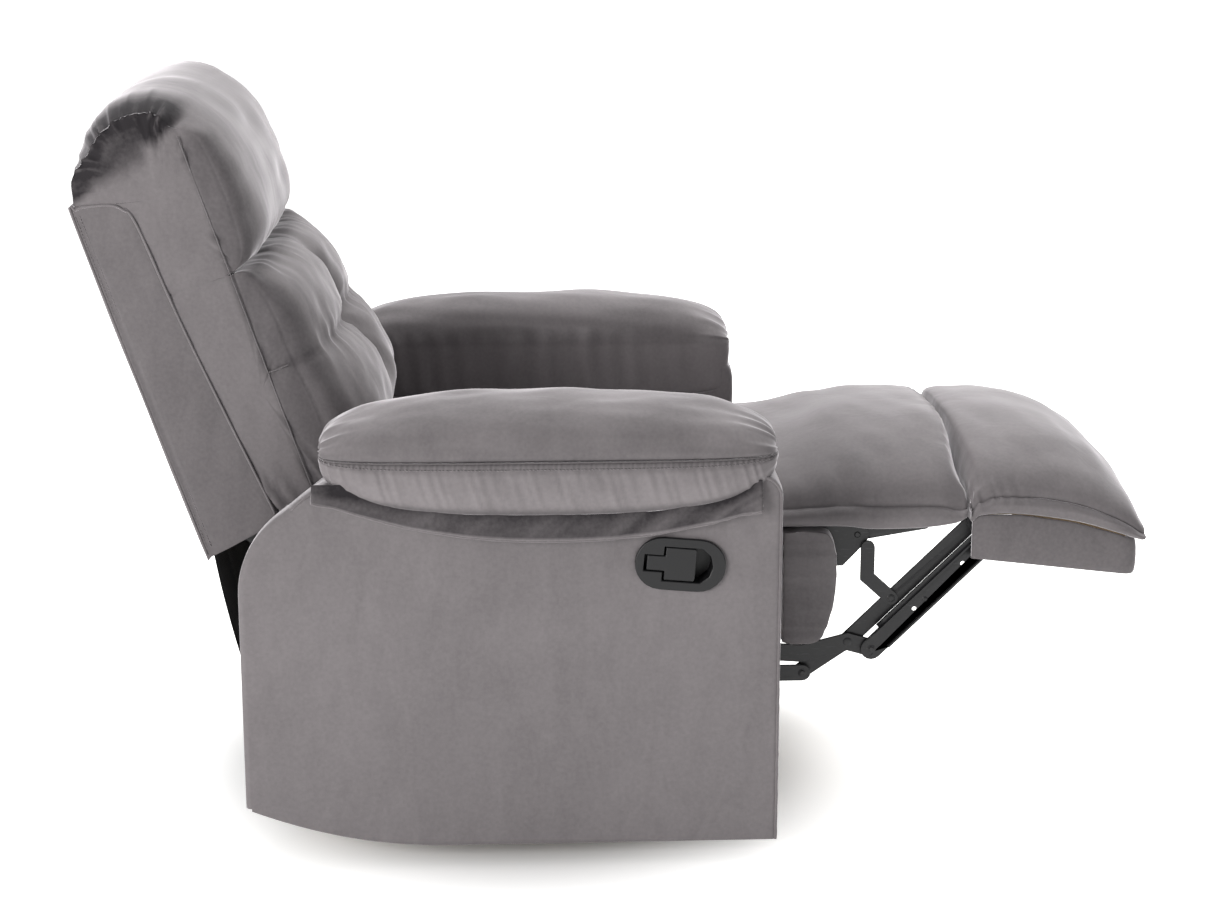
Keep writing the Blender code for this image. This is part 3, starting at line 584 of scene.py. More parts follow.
def arm_skirt(word, side):
    """Skirt under the arm pad: a sheet that leaves the roll, lies over the panel and flares at the hem."""
    x = np.linspace(SKIRT_REAR, SKIRT_FRONT, 170)
    v = np.linspace(0, 1, 30)
    ends = ease(x, SKIRT_REAR + 0.034, SKIRT_REAR) + ease(x, SKIRT_FRONT - 0.0345, SKIRT_FRONT)
    z = SKIRT_TOP + (hem_height(x) - 0.004 * ends - SKIRT_TOP)[:, None] * v[None]
    wander = x[:, None] + 0.1 * (v[None] - 0.5)
    folds = ripple(wander, 0.085, 41 + side) * 0.0032 + ripple(wander, 0.031, 43 + side) * 0.0011
    folds = folds * (0.45 + 0.55 * ease(x, -0.25, 0.1))[:, None]
    flare = 0.006 + 0.0085 * v[None] ** 1.4 + 0.006 * ends[:, None] * v[None]
    y = ARM_OUTER + flare + (folds + 0.002) * np.sin(np.pi * np.clip(v[None] * 0.72, 0, 1)) ** 1.2
    y = np.maximum(y, ARM_OUTER + 0.0026)
    grid = spread(x[:, None], side * y, z)
    # Painted shade: the whole skirt darker, darkest at its top under the roll, fold crests lighter and
    # troughs darker; a painted highlight along the hem, and less painted shade at the ends.
    nap = -0.3 - 0.22 * ease(v, 0.8, 0.35)[None] + folds * 34
    nap = nap + 0.52 * ease(v, 0.93, 1.0)[None] + 0.2 * ends[:, None]
    made = sheet_piece(f"arm_skirt_{word}", grid, 0.0022, VELVET)
    brush(made, nap.ravel())
    settle(made, "root", f"arm_flap_{word}")
    settle(tube(f"arm_hem_{word}", grid[:, -1], 0.0015, VELVET, (0, 0, 1), 6), "root")


def arm_profile(inset, count):
    """The arm's outline from its front foot up, over the top and down the rear, moved inwards by inset."""
    front, rear, top = ARM_FRONT - inset, ARM_REAR + inset, ARM_TOP - inset
    small, big = NOSE_ROUND - inset, HEEL_ROUND - inset
    turn = np.linspace(0, np.pi / 2, 14)
    sweep = np.radians(np.linspace(122, 180, 16))
    nose = np.stack([ARM_FRONT - NOSE_ROUND + small * np.cos(turn),
                     ARM_TOP - NOSE_ROUND + small * np.sin(turn)], 1)
    heel = np.stack([ARM_REAR + HEEL_ROUND + big * np.cos(sweep),
                     ARM_TOP - HEEL_DROP + big * np.sin(sweep)], 1)
    shoulder = smooth_loop([(-0.36, top), (-0.388, top - 0.003), (-0.425, top - 0.019), tuple(heel[0])],
                           12, False)
    line = np.vstack([[(front, ARM_BOTTOM)], nose, shoulder[:-1], heel, [(rear, ARM_BOTTOM + HEEL_LIFT)]])
    return read_along(line, np.linspace(0, lengths(line)[-1], count))


def arm_case(word, side):
    """Arm cover: the outline carried across the arm with rounded edges; each side face runs down to the
    lower edge, which lifts with the square of the distance behind the middle. Open underneath."""
    count, edge = 190, CASE_EDGE
    u = np.linspace(0, 1, count)
    foot_x = ARM_FRONT - edge + (ARM_REAR - ARM_FRONT + 2 * edge) * u
    foot_z = ARM_BOTTOM + HEEL_LIFT * (np.clip(-0.25 - foot_x, 0, None) / 0.272) ** 2
    foot = np.stack([foot_x, foot_z], 1)
    rows = []
    turn = np.linspace(0, np.pi / 2, 6)
    for face, inward in ((ARM_OUTER, 1), (ARM_INNER, -1)):
        outline = arm_profile(edge, count)
        panel = []
        for k in np.linspace(0, 1, 72):
            flat = foot * (1 - k) + outline * k
            panel.append(spread(flat[:, 0], face, flat[:, 1]))
        for a in turn[1:]:
            line = arm_profile(edge * (1 - math.sin(a)), count)
            level = face - inward * edge * (1 - math.cos(a))
            panel.append(spread(line[:, 0], level, line[:, 1]))
        rows.append(panel)
    across = np.linspace(ARM_OUTER - edge, ARM_INNER + edge, 16)[1:-1]
    top = arm_profile(0.0, count)
    middle = [spread(top[:, 0], y, top[:, 1]) for y in across]
    grid = np.array(rows[0] + middle + rows[1][::-1])
    flat_share = np.abs((grid[..., 1] - (ARM_OUTER + ARM_INNER) / 2) / (ARM_OUTER - ARM_INNER) * 2)
    out = np.sign(grid[..., 1] - (ARM_OUTER + ARM_INNER) / 2) * ease(flat_share, 0.985, 1.0)
    inside_edges = ease(ARM_FRONT - grid[..., 0], 0.0, 0.05) * ease(grid[..., 0] - ARM_REAR, 0.0, 0.05)
    grid[..., 1] += out * inside_edges * (0.0006 * drift(grid, 0.16, 51 + side) - 0.0002)
    nose = ease(grid[..., 0], ARM_FRONT - 0.004, ARM_FRONT) * (1 - ease(flat_share, 0.9, 1.0))
    grid[..., 0] += nose * (0.003 * (1 - flat_share ** 2) + 0.0007 * drift(grid, 0.06, 53))
    drop = 0.026 * ease(grid[..., 0], -0.36, -0.43) * ease(grid[..., 2], 0.36, 0.48)
    grid[..., 2] -= drop * ease(ARM_OUTER - grid[..., 1], edge, ARM_OUTER - ARM_INNER)
    grid[..., 1] *= side
    faces = grid_faces(*grid.shape[:2], False)
    if side < 0:
        faces = open_for_handle(grid.reshape(-1, 3), faces)
    made = piece(f"arm_case_{word}", grid.reshape(-1, 3), faces, VELVET)
    with editing(made.data) as shape:
        loose = [vertex for vertex in shape.verts if not vertex.link_faces]
        bmesh.ops.delete(shape, geom=loose, context="VERTS")
    turn_outwards(made, np.array([-0.15, side * 0.36, 0.3]))
    wall = made.modifiers.new("board", "SOLIDIFY")
    wall.thickness = CASE_WALL
    wall.offset = -1
    settle(made, "root", f"arm_cover_{word}")
    welt = arm_profile(0.0022, 170)
    welt = welt[welt[:, 0] > -0.45]
    line = spread(welt[:, 0], side * (ARM_OUTER - 0.0018), welt[:, 1])
    line[:, 0] += 0.0004 * ripple(line[:, 2], 0.014, 61)
    settle(tube(f"arm_welt_outer_{word}", line, 0.0022, VELVET), "root")


def turn_outwards(made, middle):
    """Face an open sheet away from a point inside it."""
    mesh = made.data
    centres = np.zeros(len(mesh.polygons) * 3)
    mesh.polygons.foreach_get("center", centres)
    facing = np.zeros(len(mesh.polygons) * 3)
    mesh.polygons.foreach_get("normal", facing)
    if ((centres.reshape(-1, 3) - middle) * facing.reshape(-1, 3)).sum() < 0:
        mesh.flip_normals()


def open_for_handle(points, faces):
    """Leave out the panel's faces behind the middle of the handle's bezel, inside a long rounded slot."""
    low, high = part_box("handle_bezel")
    cosine, sine = math.cos(HANDLE_TILT), math.sin(HANDLE_TILT)
    centres = points[np.array(faces)].mean(1)
    x, z = centres[:, 0] - (low.x + high.x) / 2, centres[:, 2] - (low.z + high.z) / 2
    u, v = x * cosine + z * sine, z * cosine - x * sine
    inside = np.hypot(np.clip(np.abs(u) - SLOT_HALF, 0, None), v) < SLOT_ROUND
    inside &= centres[:, 1] < -(ARM_OUTER - 0.02)
    return [face for face, gone in zip(faces, inside) if not gone]


# ---- pads that lie across the chair
def side_crown(y, flank, power=2.6):
    """How much of the crown is left at y: all of it in the middle, flank of it at the side seams."""
    return flank + (1 - flank) * np.clip(1 - np.abs(y / BODY_HALF) ** power, 0, 1) ** 0.5


def across_pad(name, low, high, finish, flank, bulge, fold, count, half=BODY_HALF, seam=0.3):
    """Pad between a lower and an upper line in X and Z, carried across Y; the upper line sinks towards the
    lower one at the sides, and domed ends close it."""
    y = crown_spacing(64) * half
    low = smooth_loop(low, count, False)
    high = smooth_loop(high, count, False)
    crown = side_crown(y * BODY_HALF / half, flank)[:, None, None]
    upper = low[None] + (high - low)[None] * crown
    outline = np.concatenate([np.broadcast_to(low, upper.shape), upper[:, ::-1]], 1)
    rings = spread(outline[..., 0], y[:, None], outline[..., 1])
    rings = capped(rings, bulge, 9, (rings + rings[:, ::-1]) / 2)
    # Painted shade: the sides a little darker and the rings at the side seams darker by the seam amount;
    # the drift added at the end is random pile tone.
    nap = -0.05 * ease(np.abs(rings[..., 1]), 0.255, 0.27)
    nap[[8, -9]] -= seam
    rings = rings + normals(rings) * fold(rings)[..., None]
    return loft(name, rings, finish, nap + 0.05 * drift(rings, 0.05, 70, (0.4, 1, 1)), True)


def seat_fold(points):
    """Loose pulls across the seat and calf, and ruffles where the calf meets the foot pad."""
    x, y, z = points[..., 0], points[..., 1], points[..., 2]
    top = ease(z, 0.45, 0.475)
    side = ease(np.abs(y), 0.2, 0.275)
    end = ease(x, 0.44, 0.492)
    amount = 0.003 * top * drift(points, 0.16, 71) + 0.0012 * top * drift(points, 0.05, 72, (1, 0.4, 1))
    amount += 0.0034 * top * end * ripple(y, 0.038, 73) * (0.4 + 0.6 * side)
    amount += 0.0014 * side * ripple(x + 0.4 * (z - 0.45), 0.045, 74) * ease(z, 0.435, 0.46)
    amount -= 0.005 * bell(x, 0.318, 0.016) * top * side
    return amount


def foot_fold(points):
    """A tight pad: faint pulls, gathers beside the seam at its inner corner, a sewn line along its edge."""
    x, y, z = points[..., 0], points[..., 1], points[..., 2]
    side = ease(np.abs(y), 0.225, 0.272)
    level = z - np.interp(x, [0.5, 0.565, 0.642, 0.7, 0.745], [0.4455, 0.4455, 0.434, 0.418, 0.4045])
    top = ease(level, 0.012, 0.03)
    start = ease(x, 0.6, 0.51)
    amount = 0.0022 * top * drift(points, 0.14, 81) + 0.0009 * top * drift(points, 0.04, 82, (1, 0.4, 1))
    amount += 0.0034 * side * start * ripple(x + 0.3 * z, 0.017, 83) * ease(level, 0.004, 0.02)
    amount += 0.003 * top * ease(x, 0.545, 0.5) * ripple(y, 0.024, 84) * (0.2 + 0.8 * side)
    amount -= 0.0014 * ease(np.abs(y), 0.262, 0.274) * bell(level, 0.01, 0.003)
    return amount


def seat_and_calf():
    """Chaise pad: seat and calf in one cover, which bends where the calf panel hangs down."""
    low = [(-0.395, 0.43), (-0.1, 0.4298), (0.2, 0.4295), (0.312, 0.429), (0.356, 0.4245), (0.43, 0.4255),
           (0.475, 0.432), (0.4895, 0.44)]
    high = [(-0.398, 0.47), (-0.37, 0.495), (-0.1, 0.509), (0.1, 0.511), (0.23, 0.52), (0.32, 0.54),
            (0.4, 0.548), (0.466, 0.547), (0.487, 0.534), (0.494, 0.485)]
    half = BODY_HALF - 0.012
    made = across_pad("chaise_cushion", low, high, VELVET, 0.26, 0.014, seat_fold, 110, half, 0)
    settle(made, None, "seat_cushion", "calf_pad", fill=0.6)
    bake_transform(made)


def foot_pads():
    """Foot pad and the upholstered tray under it."""
    low = [(0.495, 0.448), (0.4952, 0.4365), (0.5, 0.436), (0.512, 0.444), (0.562, 0.4455), (0.642, 0.4342),
           (0.7, 0.4182), (0.74, 0.4052), (0.7465, 0.409)]
    high = [(0.495, 0.475), (0.498, 0.524), (0.512, 0.54), (0.59, 0.543), (0.655, 0.528), (0.715, 0.492),
            (0.742, 0.46), (0.748, 0.434)]
    pad = across_pad("foot_cushion", low, high, VELVET, 0.24, 0.012, foot_fold, 80, BODY_HALF - 0.008, 0.12)
    settle(pad, "foot", "foot_pad", fill=0.75)
    foot_tray()


def foot_tray():
    """Tray: a padded wall swept round the sides and the toe, higher at the back than at the toe."""
    half, toe, back, corner = BODY_HALF - 0.0045, 0.733, 0.4985, 0.016
    turn = np.linspace(0, np.pi / 2, 9)
    right = np.column_stack([np.linspace(back, toe - corner, 40), np.full(40, -half)])
    bend = np.column_stack([toe - corner + corner * np.sin(turn), -half + corner - corner * np.cos(turn)])
    front = np.column_stack([np.full(40, toe), np.linspace(-half + corner, half - corner, 40)])
    run = np.vstack([right, bend[1:], front[1:], (bend * [1, -1])[::-1][1:], (right * [1, -1])[::-1][1:]])
    way = unit(np.gradient(run, axis=0))
    outward = np.column_stack([way[:, 1], -way[:, 0]])
    low = 0.3806 - (run[:, 0] - back) * (0.3806 - 0.3535) / (toe - back)
    high = np.interp(run[:, 0], [0.4985, 0.565, 0.642, 0.7, 0.734], [0.445, 0.4445, 0.4325, 0.4165, 0.405])
    turn = circle(40)
    thick = 0.0035 * np.sign(np.cos(turn)) * np.abs(np.cos(turn)) ** 0.5
    tall = np.sign(np.sin(turn)) * np.abs(np.sin(turn)) ** 0.45
    middle, reach = (low + high) / 2, (high - low) / 2
    puff = 0.002 * (1 - tall ** 2) * (thick > 0)
    flat = run[:, None] + outward[:, None] * (thick + puff)[None, :, None]
    z = middle[:, None] + reach[:, None] * tall[None]
    rings = np.concatenate([flat, z[..., None]], -1)
    rings[..., :2] += outward[:, None] * (0.0008 * drift(rings, 0.09, 91) * (thick > 0))[..., None]
    # Painted shade: the whole tray wall darker.
    nap = np.full(rings.shape[:2], -0.13)
    settle(loft("foot_tray", rings, VELVET_BOX, nap), "foot", "foot_skirt")


def apron():
    """Front apron: a thin pad that curves back underneath."""
    low = [(0.23, 0.26), (0.23, 0.34), (0.23, 0.424)]
    high = [(0.255, 0.256), (0.279, 0.2565), (0.293, 0.268), (0.305, 0.305), (0.3105, 0.35), (0.31, 0.386),
            (0.304, 0.412), (0.293, 0.424), (0.26, 0.427)]

    def fold(points):
        edge = ease(np.abs(points[..., 1]), 0.24, 0.275)
        return 0.0018 * drift(points, 0.12, 95) + 0.0006 * edge * ripple(points[..., 2], 0.024, 96)

    made = across_pad("apron_cushion", low, high, VELVET_BOX, 0.93, 0.004, fold, 60)
    settle(made, "root", "front_apron", fill=0.6)


# ---- back
BOXING = 0.175                    # how deep in the back the seam of its side strip runs
TUFT = 0.225                      # how far up the back the tuft sits
HEART_S, HEART_N = 0.545, 0.105   # where the gathers on the head roll's sides meet


def in_back(rings):
    """World places of points given as s up the back, y and n across it."""
    flat = BACK_FOOT + rings[..., :1] * UP_BACK + rings[..., 2:] * ACROSS_BACK
    return spread(flat[..., 0], rings[..., 1], flat[..., 1])


def back_rings(section, stations, flank, half):
    """Rings of a back pillow: beyond the boxing seam the section sinks towards it at the sides."""
    y = crown_spacing(stations) * half
    crown = side_crown(y * BODY_HALF / half, flank, 3.0)[:, None]
    s, n = section[None, :, 0], section[None, :, 1]
    sunk = np.where(n > BOXING, BOXING + (n - BOXING) * crown, n)
    return spread(s, y[:, None], sunk)


def side_nap(s, n, side):
    """On the back's sides the boxing is slightly darker and the front panel beyond its seam much darker;
    the dark line along the seam is painted shade.
    """
    boxing = ease(n, BOXING + 0.001, BOXING - 0.001)
    seam = bell(n, BOXING, 0.0022) * ease(s, 0.58, 0.56)
    return side * (-0.02 * boxing - 0.19 * (1 - boxing) - 0.2 * seam)


def lower_pillow():
    """Lumbar and shoulder lobes, drawn together at a tuft in the middle and along a centre crease."""
    section = smooth_loop([(0.03, 0.13), (0.026, 0.17), (0.028, 0.215), (0.045, 0.262), (0.08, 0.295),
                           (0.12, 0.306), (0.17, 0.302), (0.205, 0.292), (0.228, 0.284), (0.25, 0.283),
                           (0.285, 0.279), (0.32, 0.267), (0.35, 0.242), (0.364, 0.214), (0.366, 0.16),
                           (0.366, 0.086), (0.3, 0.086), (0.16, 0.099), (0.042, 0.11)], 150)
    rings = capped(back_rings(section, 96, 0.34, BODY_HALF - 0.003), 0.004, 8)
    s, y, n = rings[..., 0], rings[..., 1], rings[..., 2]
    face = ease(n, 0.185, 0.215)
    away = np.hypot(s - TUFT, y * 0.85)
    heading = np.arctan2(s - TUFT, y)
    sink = 0.026 * np.exp(-away / 0.034)
    sink += 0.024 * bell(y, 0, 0.03) * ease(s, 0.06, 0.17) * ease(s, 0.365, 0.28)
    sink += 0.008 * bell(s, TUFT, 0.014) * ease(np.abs(y), 0.262, 0.14)
    rays = 0.0042 * np.exp(-away / 0.075) * ease(away, 0.006, 0.03) * ripple(heading * 0.1, 0.055, 101)
    rays += 0.0022 * bell(s, TUFT, 0.03) * ripple(y, 0.03, 102) * ease(np.abs(y), 0.03, 0.07)
    rays += 0.003 * ease(s, 0.32, 0.366) * ripple(y, 0.034, 103)
    soft = 0.003 * drift(rings, 0.1, 104) + 0.0012 * drift(rings, 0.04, 105)
    side = ease(np.abs(y), 0.24, 0.268)
    tuck = 0.0058 * ease(s, 0.115, 0.04) * ripple(n + 0.3 * s, 0.026, 106) * side
    groove = -0.0045 * side * bell(s, 0.222, 0.0035) * ease(n, BOXING - 0.002, BOXING + 0.004)
    groove -= 0.003 * side * bell(n, BOXING, 0.003) * ease(s, 0.04, 0.06)
    push = face * (soft + rays) + 0.001 * side * drift(rings, 0.06, 107) + tuck + groove
    moved = rings + normals(rings) * push[..., None]
    moved[..., 2] -= face * sink
    # Painted shade: along the side seam, at the pillow's top under the head roll and along the tuft line,
    # and in the tucks' troughs, whose crests are lighter; the ripple across the face is random pile
    # streaking.
    nap = side_nap(s, n, side) + face * (1 - side) * 0.07 * ripple(y + 0.04 * s, 0.026, 108)
    nap = nap - 0.25 * ease(s, 0.345, 0.364) * face - 0.1 * bell(s, TUFT, 0.01) * face
    nap = nap + 0.16 * side * ease(s, 0.11, 0.045) * (ripple(n + 0.3 * s, 0.026, 106) - 0.4)
    made = loft("back_cushion", in_back(moved), VELVET, nap)
    settle(made, "back", "back_pillow", fill=0.65)


def head_roll():
    """Head roll: over the front, the top and round to the back, with gathered upper corners."""
    section = smooth_loop([(0.3655, 0.09), (0.366, 0.17), (0.37, 0.198), (0.38, 0.222), (0.404, 0.242),
                           (0.452, 0.251), (0.51, 0.246), (0.562, 0.229), (0.603, 0.201), (0.631, 0.162),
                           (0.636, 0.12), (0.629, 0.085), (0.609, 0.05), (0.585, 0.03), (0.555, 0.018),
                           (0.535, 0.013), (0.518, 0.013), (0.508, 0.05), (0.474, 0.076), (0.42, 0.082)],
                          160)
    rings = back_rings(section, 110, 0.4, BODY_HALF - 0.003)
    e = (np.abs(rings[..., 1]) / BODY_HALF) ** 7
    over = ease(rings[..., 0], 0.55, 0.6) * 0.27 * e
    rings[..., 0] -= over * (rings[..., 0] - HEART_S)
    rings[..., 2] -= over * (rings[..., 2] - HEART_N)
    rings = capped(rings, 0.005, 8)
    s, y, n = rings[..., 0], rings[..., 1], rings[..., 2]
    face = ease(n, 0.185, 0.215) + ease(s, 0.585, 0.61) * (n <= 0.2)
    face = np.clip(face, 0, 1)
    soft = 0.0032 * drift(rings, 0.13, 111) + 0.0013 * drift(rings, 0.05, 112, (1, 0.35, 1))
    side = ease(np.abs(y), 0.235, 0.268)
    low = 0.0032 * ease(s, 0.405, 0.368) * ripple(y, 0.036, 113) * ease(n, 0.18, 0.21)
    centre = np.hypot((s - HEART_S) * 0.9, n - HEART_N)
    heading = np.arctan2(s - HEART_S, n - HEART_N)
    wide = ease(np.abs(y), 0.19, 0.262)
    ruffle = ripple(heading * 0.1, 0.024, 114) * bell(centre, 0.068, 0.02)
    gather = 0.0054 * wide * ruffle * ease(s, HEART_S, 0.58)
    pleat = 0.0022 * ease(np.abs(y), 0.15, 0.255) * ripple(heading * 0.1, 0.034, 115) * ease(s, 0.57, 0.605)
    crease = side * bell(s - 0.553 - 0.4 * (n - 0.1), 0.0, 0.005)
    fold = -0.007 * crease * ease(n, 0.06, 0.09) * ease(n, 0.215, 0.18)
    groove = -0.0032 * side * bell(n, BOXING, 0.003) * ease(s, 0.6, 0.56)
    arc = bell(centre, 0.054, 0.0028) * ease(s, 0.565, 0.58) * side
    groove -= 0.0026 * arc
    amount = face * soft + low + gather + pleat + fold + groove + 0.001 * side * drift(rings, 0.05, 116)
    # Painted shade in the arc groove and the crease, and on the ruffles' troughs with their crests lighter;
    # a darker patch on the sides round the gathers; the ripple across the face is random pile streaking.
    nap = side_nap(s, n, side) * ease(s, 0.575, 0.545)
    patch = wide * ease(s - 0.35 * (n - 0.1), 0.548, 0.566) * ease(centre, 0.118, 0.088)
    nap = nap - 0.44 * patch + 0.08 * patch * drift(rings, 0.035, 118) - 0.22 * arc
    nap = nap - 0.18 * crease * ease(n, 0.04, 0.08) * ease(n, 0.2, 0.17)
    nap = nap + patch * 0.2 * ruffle
    nap = nap + face * (1 - side) * (0.1 * ripple(y + 0.03 * s, 0.024, 117) - 0.04)
    made = loft("head_cushion", in_back(rings + normals(rings) * amount[..., None]), VELVET, nap)
    settle(made, "back", "head_pillow", fill=0.7)


def shell():
    """Back shell: a shallow upholstered box with a sewn rear edge."""
    section = smooth_loop([(0.004, 0.0), (0.13, -0.001), (0.26, -0.0012), (0.39, -0.001), (0.512, 0.0),
                           (0.5195, 0.004), (0.5205, 0.02), (0.511, 0.057), (0.5, 0.07), (0.476, 0.0815),
                           (0.3, 0.0905), (0.15, 0.104), (0.03, 0.1155), (0.018, 0.112), (0.006, 0.05),
                           (0.0, 0.006)], 170)
    y = np.r_[-1, crown_spacing(50) * 0.985, 1] * BODY_HALF
    rings = spread(section[:, 0], y[:, None], section[:, 1])
    middle = section.mean(0)
    shrink = np.where(np.abs(y) > BODY_HALF * 0.99, 0.99, 1.0)[:, None]
    rings[..., 0] = middle[0] + (rings[..., 0] - middle[0]) * (1 - (1 - shrink) * 0.3)
    rings[..., 2] = middle[1] + (rings[..., 2] - middle[1]) * (1 - (1 - shrink) * 2)
    rings = capped(rings, 0.0022, 14)
    s, n = rings[..., 0], rings[..., 2]
    side = ease(np.abs(rings[..., 1]), 0.268, 0.2745)
    push = -0.0016 * side * bell(n, 0.0095, 0.0016) + 0.0005 * side * drift(rings, 0.09, 121)
    push += 0.0012 * (1 - side) * drift(rings, 0.2, 122)
    # Painted shade: the shell's sides a little darker.
    made = loft("back_case", in_back(rings + normals(rings) * push[..., None]), VELVET_BOX, -0.09 * side)
    settle(made, "back", "back_shell")
    for word, side_sign in SIDES:
        for label, level in (("outer", 0.0065), ("inner", 0.0125)):
            s = np.linspace(0.012, 0.508, 90)
            line = spread(s, side_sign * (BODY_HALF + 0.0004), level)
            settle(stitches(f"back_topstitch_{label}_{word}", in_back(line), THREAD), "back")
        edge = smooth_loop([(0.006, 0.003), (0.26, 0.002), (0.505, 0.003), (0.5155, 0.01), (0.517, 0.022),
                            (0.508, 0.056), (0.497, 0.069), (0.47, 0.08), (0.3, 0.089), (0.03, 0.113)],
                           140, False)
        line = spread(edge[:, 0], side_sign * (BODY_HALF + 0.0002), edge[:, 1])
        settle(tube(f"back_welt_{word}", in_back(line), 0.0019, VELVET), "back")


def back_seams():
    """Sewn lines on the back's sides: down the boxing and across at the two creases."""
    lines = {"boxing": [(0.045, BOXING), (0.2, BOXING), (0.4, BOXING), (0.565, BOXING)],
             "waist": [(0.222, BOXING), (0.2225, 0.19), (0.2235, 0.2045)]}
    for word, side in SIDES:
        for label, points in lines.items():
            edge = smooth_loop(points, 40, False)
            path = in_back(spread(edge[:, 0], side * (BODY_HALF + 0.0009), edge[:, 1]))
            settle(tube(f"back_{label}_seam_{word}", path, 0.0009, THREAD, sides=6), "back")


def dust_sheet():
    """Lining behind the seat: hangs from the back's lower edge to the base, with slack folds."""
    v = np.linspace(0, 1, 50)
    line = smooth_loop([(-0.572, 0.402), (-0.56, 0.33), (-0.542, 0.23), (-0.52, 0.15), (-0.502, 0.093)],
                       50, False)
    y = np.linspace(-0.262, 0.262, 90)
    sag = 0.01 * np.sin(np.pi * v)[:, None] * ripple(y[None] + 0.1 * v[:, None], 0.16, 131)
    x = line[:, :1] + sag + 0.01 * np.sin(np.pi * v)[:, None]
    grid = spread(x, y, line[:, 1:])
    made = sheet_piece("dust_lining", grid, 0.001, CLOTH)
    settle(made, None, "dust_cloth", slot="black_cloth")
    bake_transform(made)


# ---- hard pieces
def rivet_heads():
    """Domed rivet heads on the linkage: a quarter circle turned round each pin."""
    heads = {
        "knee_links": [(0.361, 0.243, 0.26, 0.0085), (0.327, 0.253, 0.2553, 0.0075)],
        "upper_shins": [(0.262, 0.2085, 0.26, 0.0085), (0.388, 0.318, 0.2553, 0.007)],
        "foot": [(0.54, 0.421, 0.26, 0.007)],
        "crank_tube": [(0.0705, 0.2086, 0.26, 0.0075)],
        "shin_channels": [(0.436, 0.3176, 0.2603, 0.0045)],
    }
    rise = np.linspace(0, np.pi / 2, 7)
    turn = circle(24)
    for body, places in heads.items():
        for number, (x, z, level, radius) in enumerate(places):
            for word, side in SIDES:
                out = level - 0.0026 + np.r_[0, 0.0012, 0.0012 + 0.0022 * np.sin(rise[1:-1])]
                wide = radius * np.r_[1, 1, np.cos(rise[1:-1])]
                rings = spread(x + wide[:, None] * np.cos(turn), side * out[:, None],
                               z + wide[:, None] * np.sin(turn))
                made = loft(f"rivet_{body}_{number}_{word}", rings, STEEL)
                settle(made, body, slot="black_steel")


def shin_lips():
    """Rolled upper lip of each shin channel: a flat bar with round edges beside the channel's web."""
    start, end = np.array([0.361, 0.243]), np.array([0.54, 0.421])
    run = (end - start) / np.linalg.norm(end - start)
    up = np.array([-run[1], run[0]])
    turn = circle(20)
    corner = np.abs(np.cos(turn)) ** 0.6 * np.sign(np.cos(turn))
    depth = np.abs(np.sin(turn)) ** 0.6 * np.sign(np.sin(turn))
    along = np.linspace(0.03, 0.236, 12)
    flat = (start + along[:, None] * run)[:, None] + (0.0172 + 0.004 * corner)[None, :, None] * up
    for word, side in SIDES:
        rings = spread(flat[..., 0], side * (0.2572 + 0.003 * depth), flat[..., 1])
        made = loft(f"shin_lip_{word}", rings, STEEL)
        settle(made, "shin_channels", slot="black_steel")


def hard_pieces():
    """Give every hard frame piece its finish; the ones in view get broken edges too."""
    seen = ["handle_bezel", "release_lever", "torque_tube"]
    for stem in ("seat_plate", "knee_link", "shin_channel", "upper_shin", "drive_link", "calf_link",
                 "foot_bracket", "calf_bracket", "back_bracket"):
        seen += [f"{stem}_{word}" for word, _ in SIDES]
    for node in seen:
        refined(node, FINISHES[slot_of[node]], 0.0016 if node == "handle_bezel" else 0.0007)
    for node, made in frame["nodes"].items():
        finish = FINISHES[slot_of[node]]
        made.data.materials.clear()
        made.data.materials.append(finish)


# ---- stage
CAMERA_PLACE = (-0.170693, -3.603182, 1.41152)
CAMERA_DOWN, CAMERA_ASIDE = 14.661, 2.592   # degrees


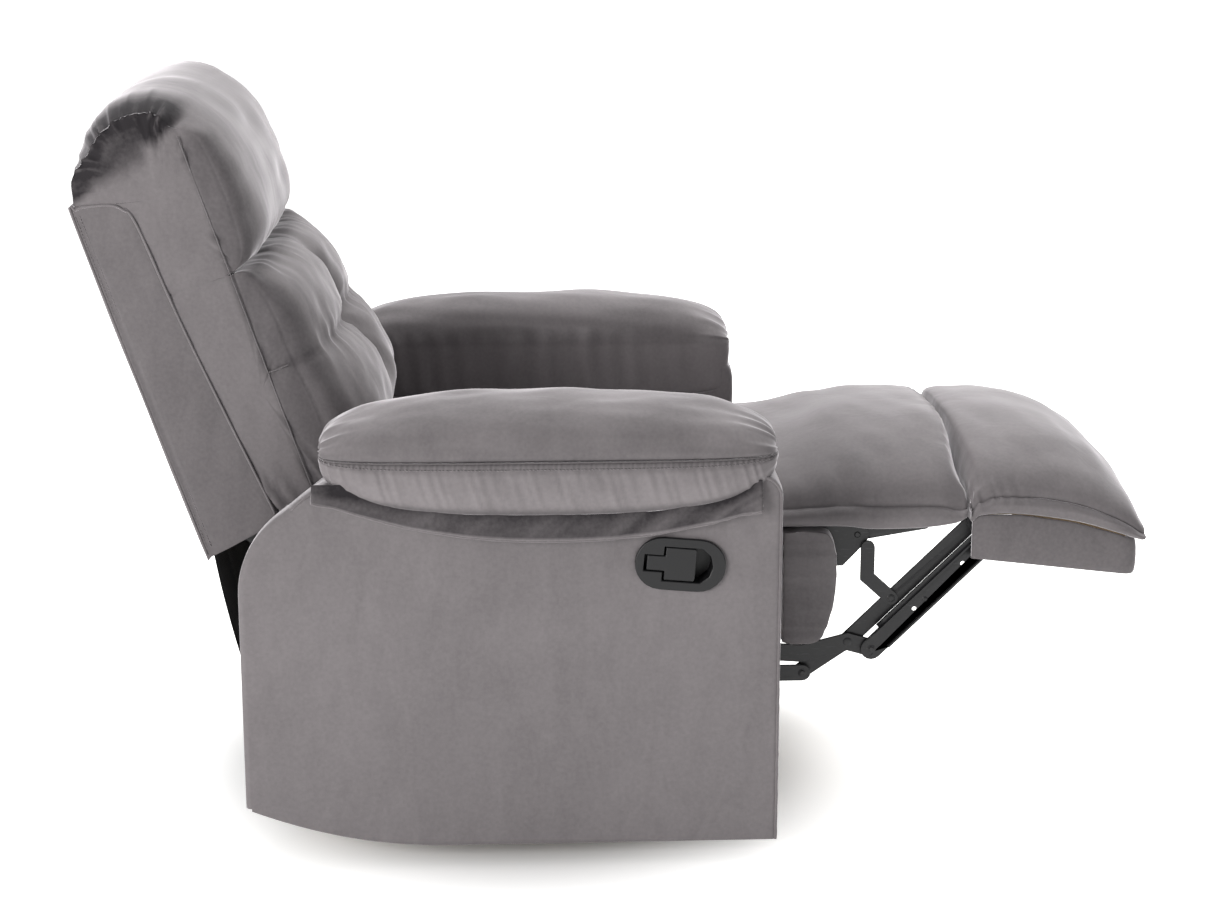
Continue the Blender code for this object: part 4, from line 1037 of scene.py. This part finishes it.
def stage():
    """White floor and surround, soft lamps, and the camera. The floor glows as painted light, and its glow
    fades to near black in an ellipse round the chair as a painted shadow.
    """
    scene = bpy.context.scene
    glowing_floor = Finish("floor", base_color=(0.82, 0.82, 0.815, 1), roughness=0.9, specular_ior_level=0.1,
                  emission_strength=0.84)
    # Painted shadow: the glow dims to near black within an ellipse round the chair's footprint.
    under = glowing_floor.node("ShaderNodeVectorMath", {"operation": "ADD"},
                      {0: glowing_floor.place(scale=(1.35, 1.18, 1.0)), 1: (0.19, 0.0, 0.0)})
    away = glowing_floor.node("ShaderNodeVectorMath", {"operation": "LENGTH"}, {0: under}, output=1)
    lit = glowing_floor.node("ShaderNodeMapRange", {"interpolation_type": "SMOOTHSTEP"},
                    {"Value": away, "From Min": 0.42, "From Max": 0.76})
    glowing_floor.feed("Emission Color", glowing_floor.mix(lit, (0.03, 0.03, 0.03), (1.0, 1.0, 0.995)))
    ground = np.array([[-30, -12, 0], [30, -12, 0], [30, 40, 0], [-30, 40, 0]], float)
    floor = piece("floor", ground, [(0, 1, 2, 3)], glowing_floor.material)
    world = bpy.data.worlds.new("studio")
    world.use_nodes = True
    sky = world.node_tree.nodes["Background"].inputs
    sky["Color"].default_value = (1, 1, 1, 1)
    sky["Strength"].default_value = 0.39
    scene.world = world
    lamps = (("key", (-3.3, -3.9, 1.5), (-0.2, 0, 0.45), 2.4, 215, 0.985),
             ("top", (-0.4, 1.0, 3.5), (0.0, 0, 0.5), 2.0, 100, 1.0),
             ("rear", (2.2, 3.0, 2.2), (0.2, 0, 0.5), 1.8, 75, 1.0),
             ("legs", (1.2, 1.1, 2.6), (0.55, 0, 0.5), 1.4, 42, 1.0))
    for name, place, target, size, power, tint in lamps:
        light = bpy.data.lights.new(name, "AREA")
        light.size = size
        light.energy = power
        light.color = (1, tint, tint * 0.99)
        lamp = added(name, light)
        lamp.location = place
        lamp.rotation_euler = (Vector(target) - Vector(place)).to_track_quat("-Z", "Y").to_euler()
    lens = bpy.data.cameras.new("camera")
    lens.lens = 73.227
    lens.sensor_width = 36.0
    camera = added("camera", lens)
    camera.location = CAMERA_PLACE
    camera.rotation_euler = (math.radians(90 - CAMERA_DOWN), 0, math.radians(-CAMERA_ASIDE))
    scene.camera = camera
    scene.view_settings.view_transform = "Standard"


stage()
for word, side in SIDES:
    arm_case(word, side)
    arm_pad(word, side)
    arm_skirt(word, side)
seat_and_calf()
foot_pads()
apron()
shell()
lower_pillow()
head_roll()
back_seams()
dust_sheet()
hard_pieces()
shin_lips()
rivet_heads()
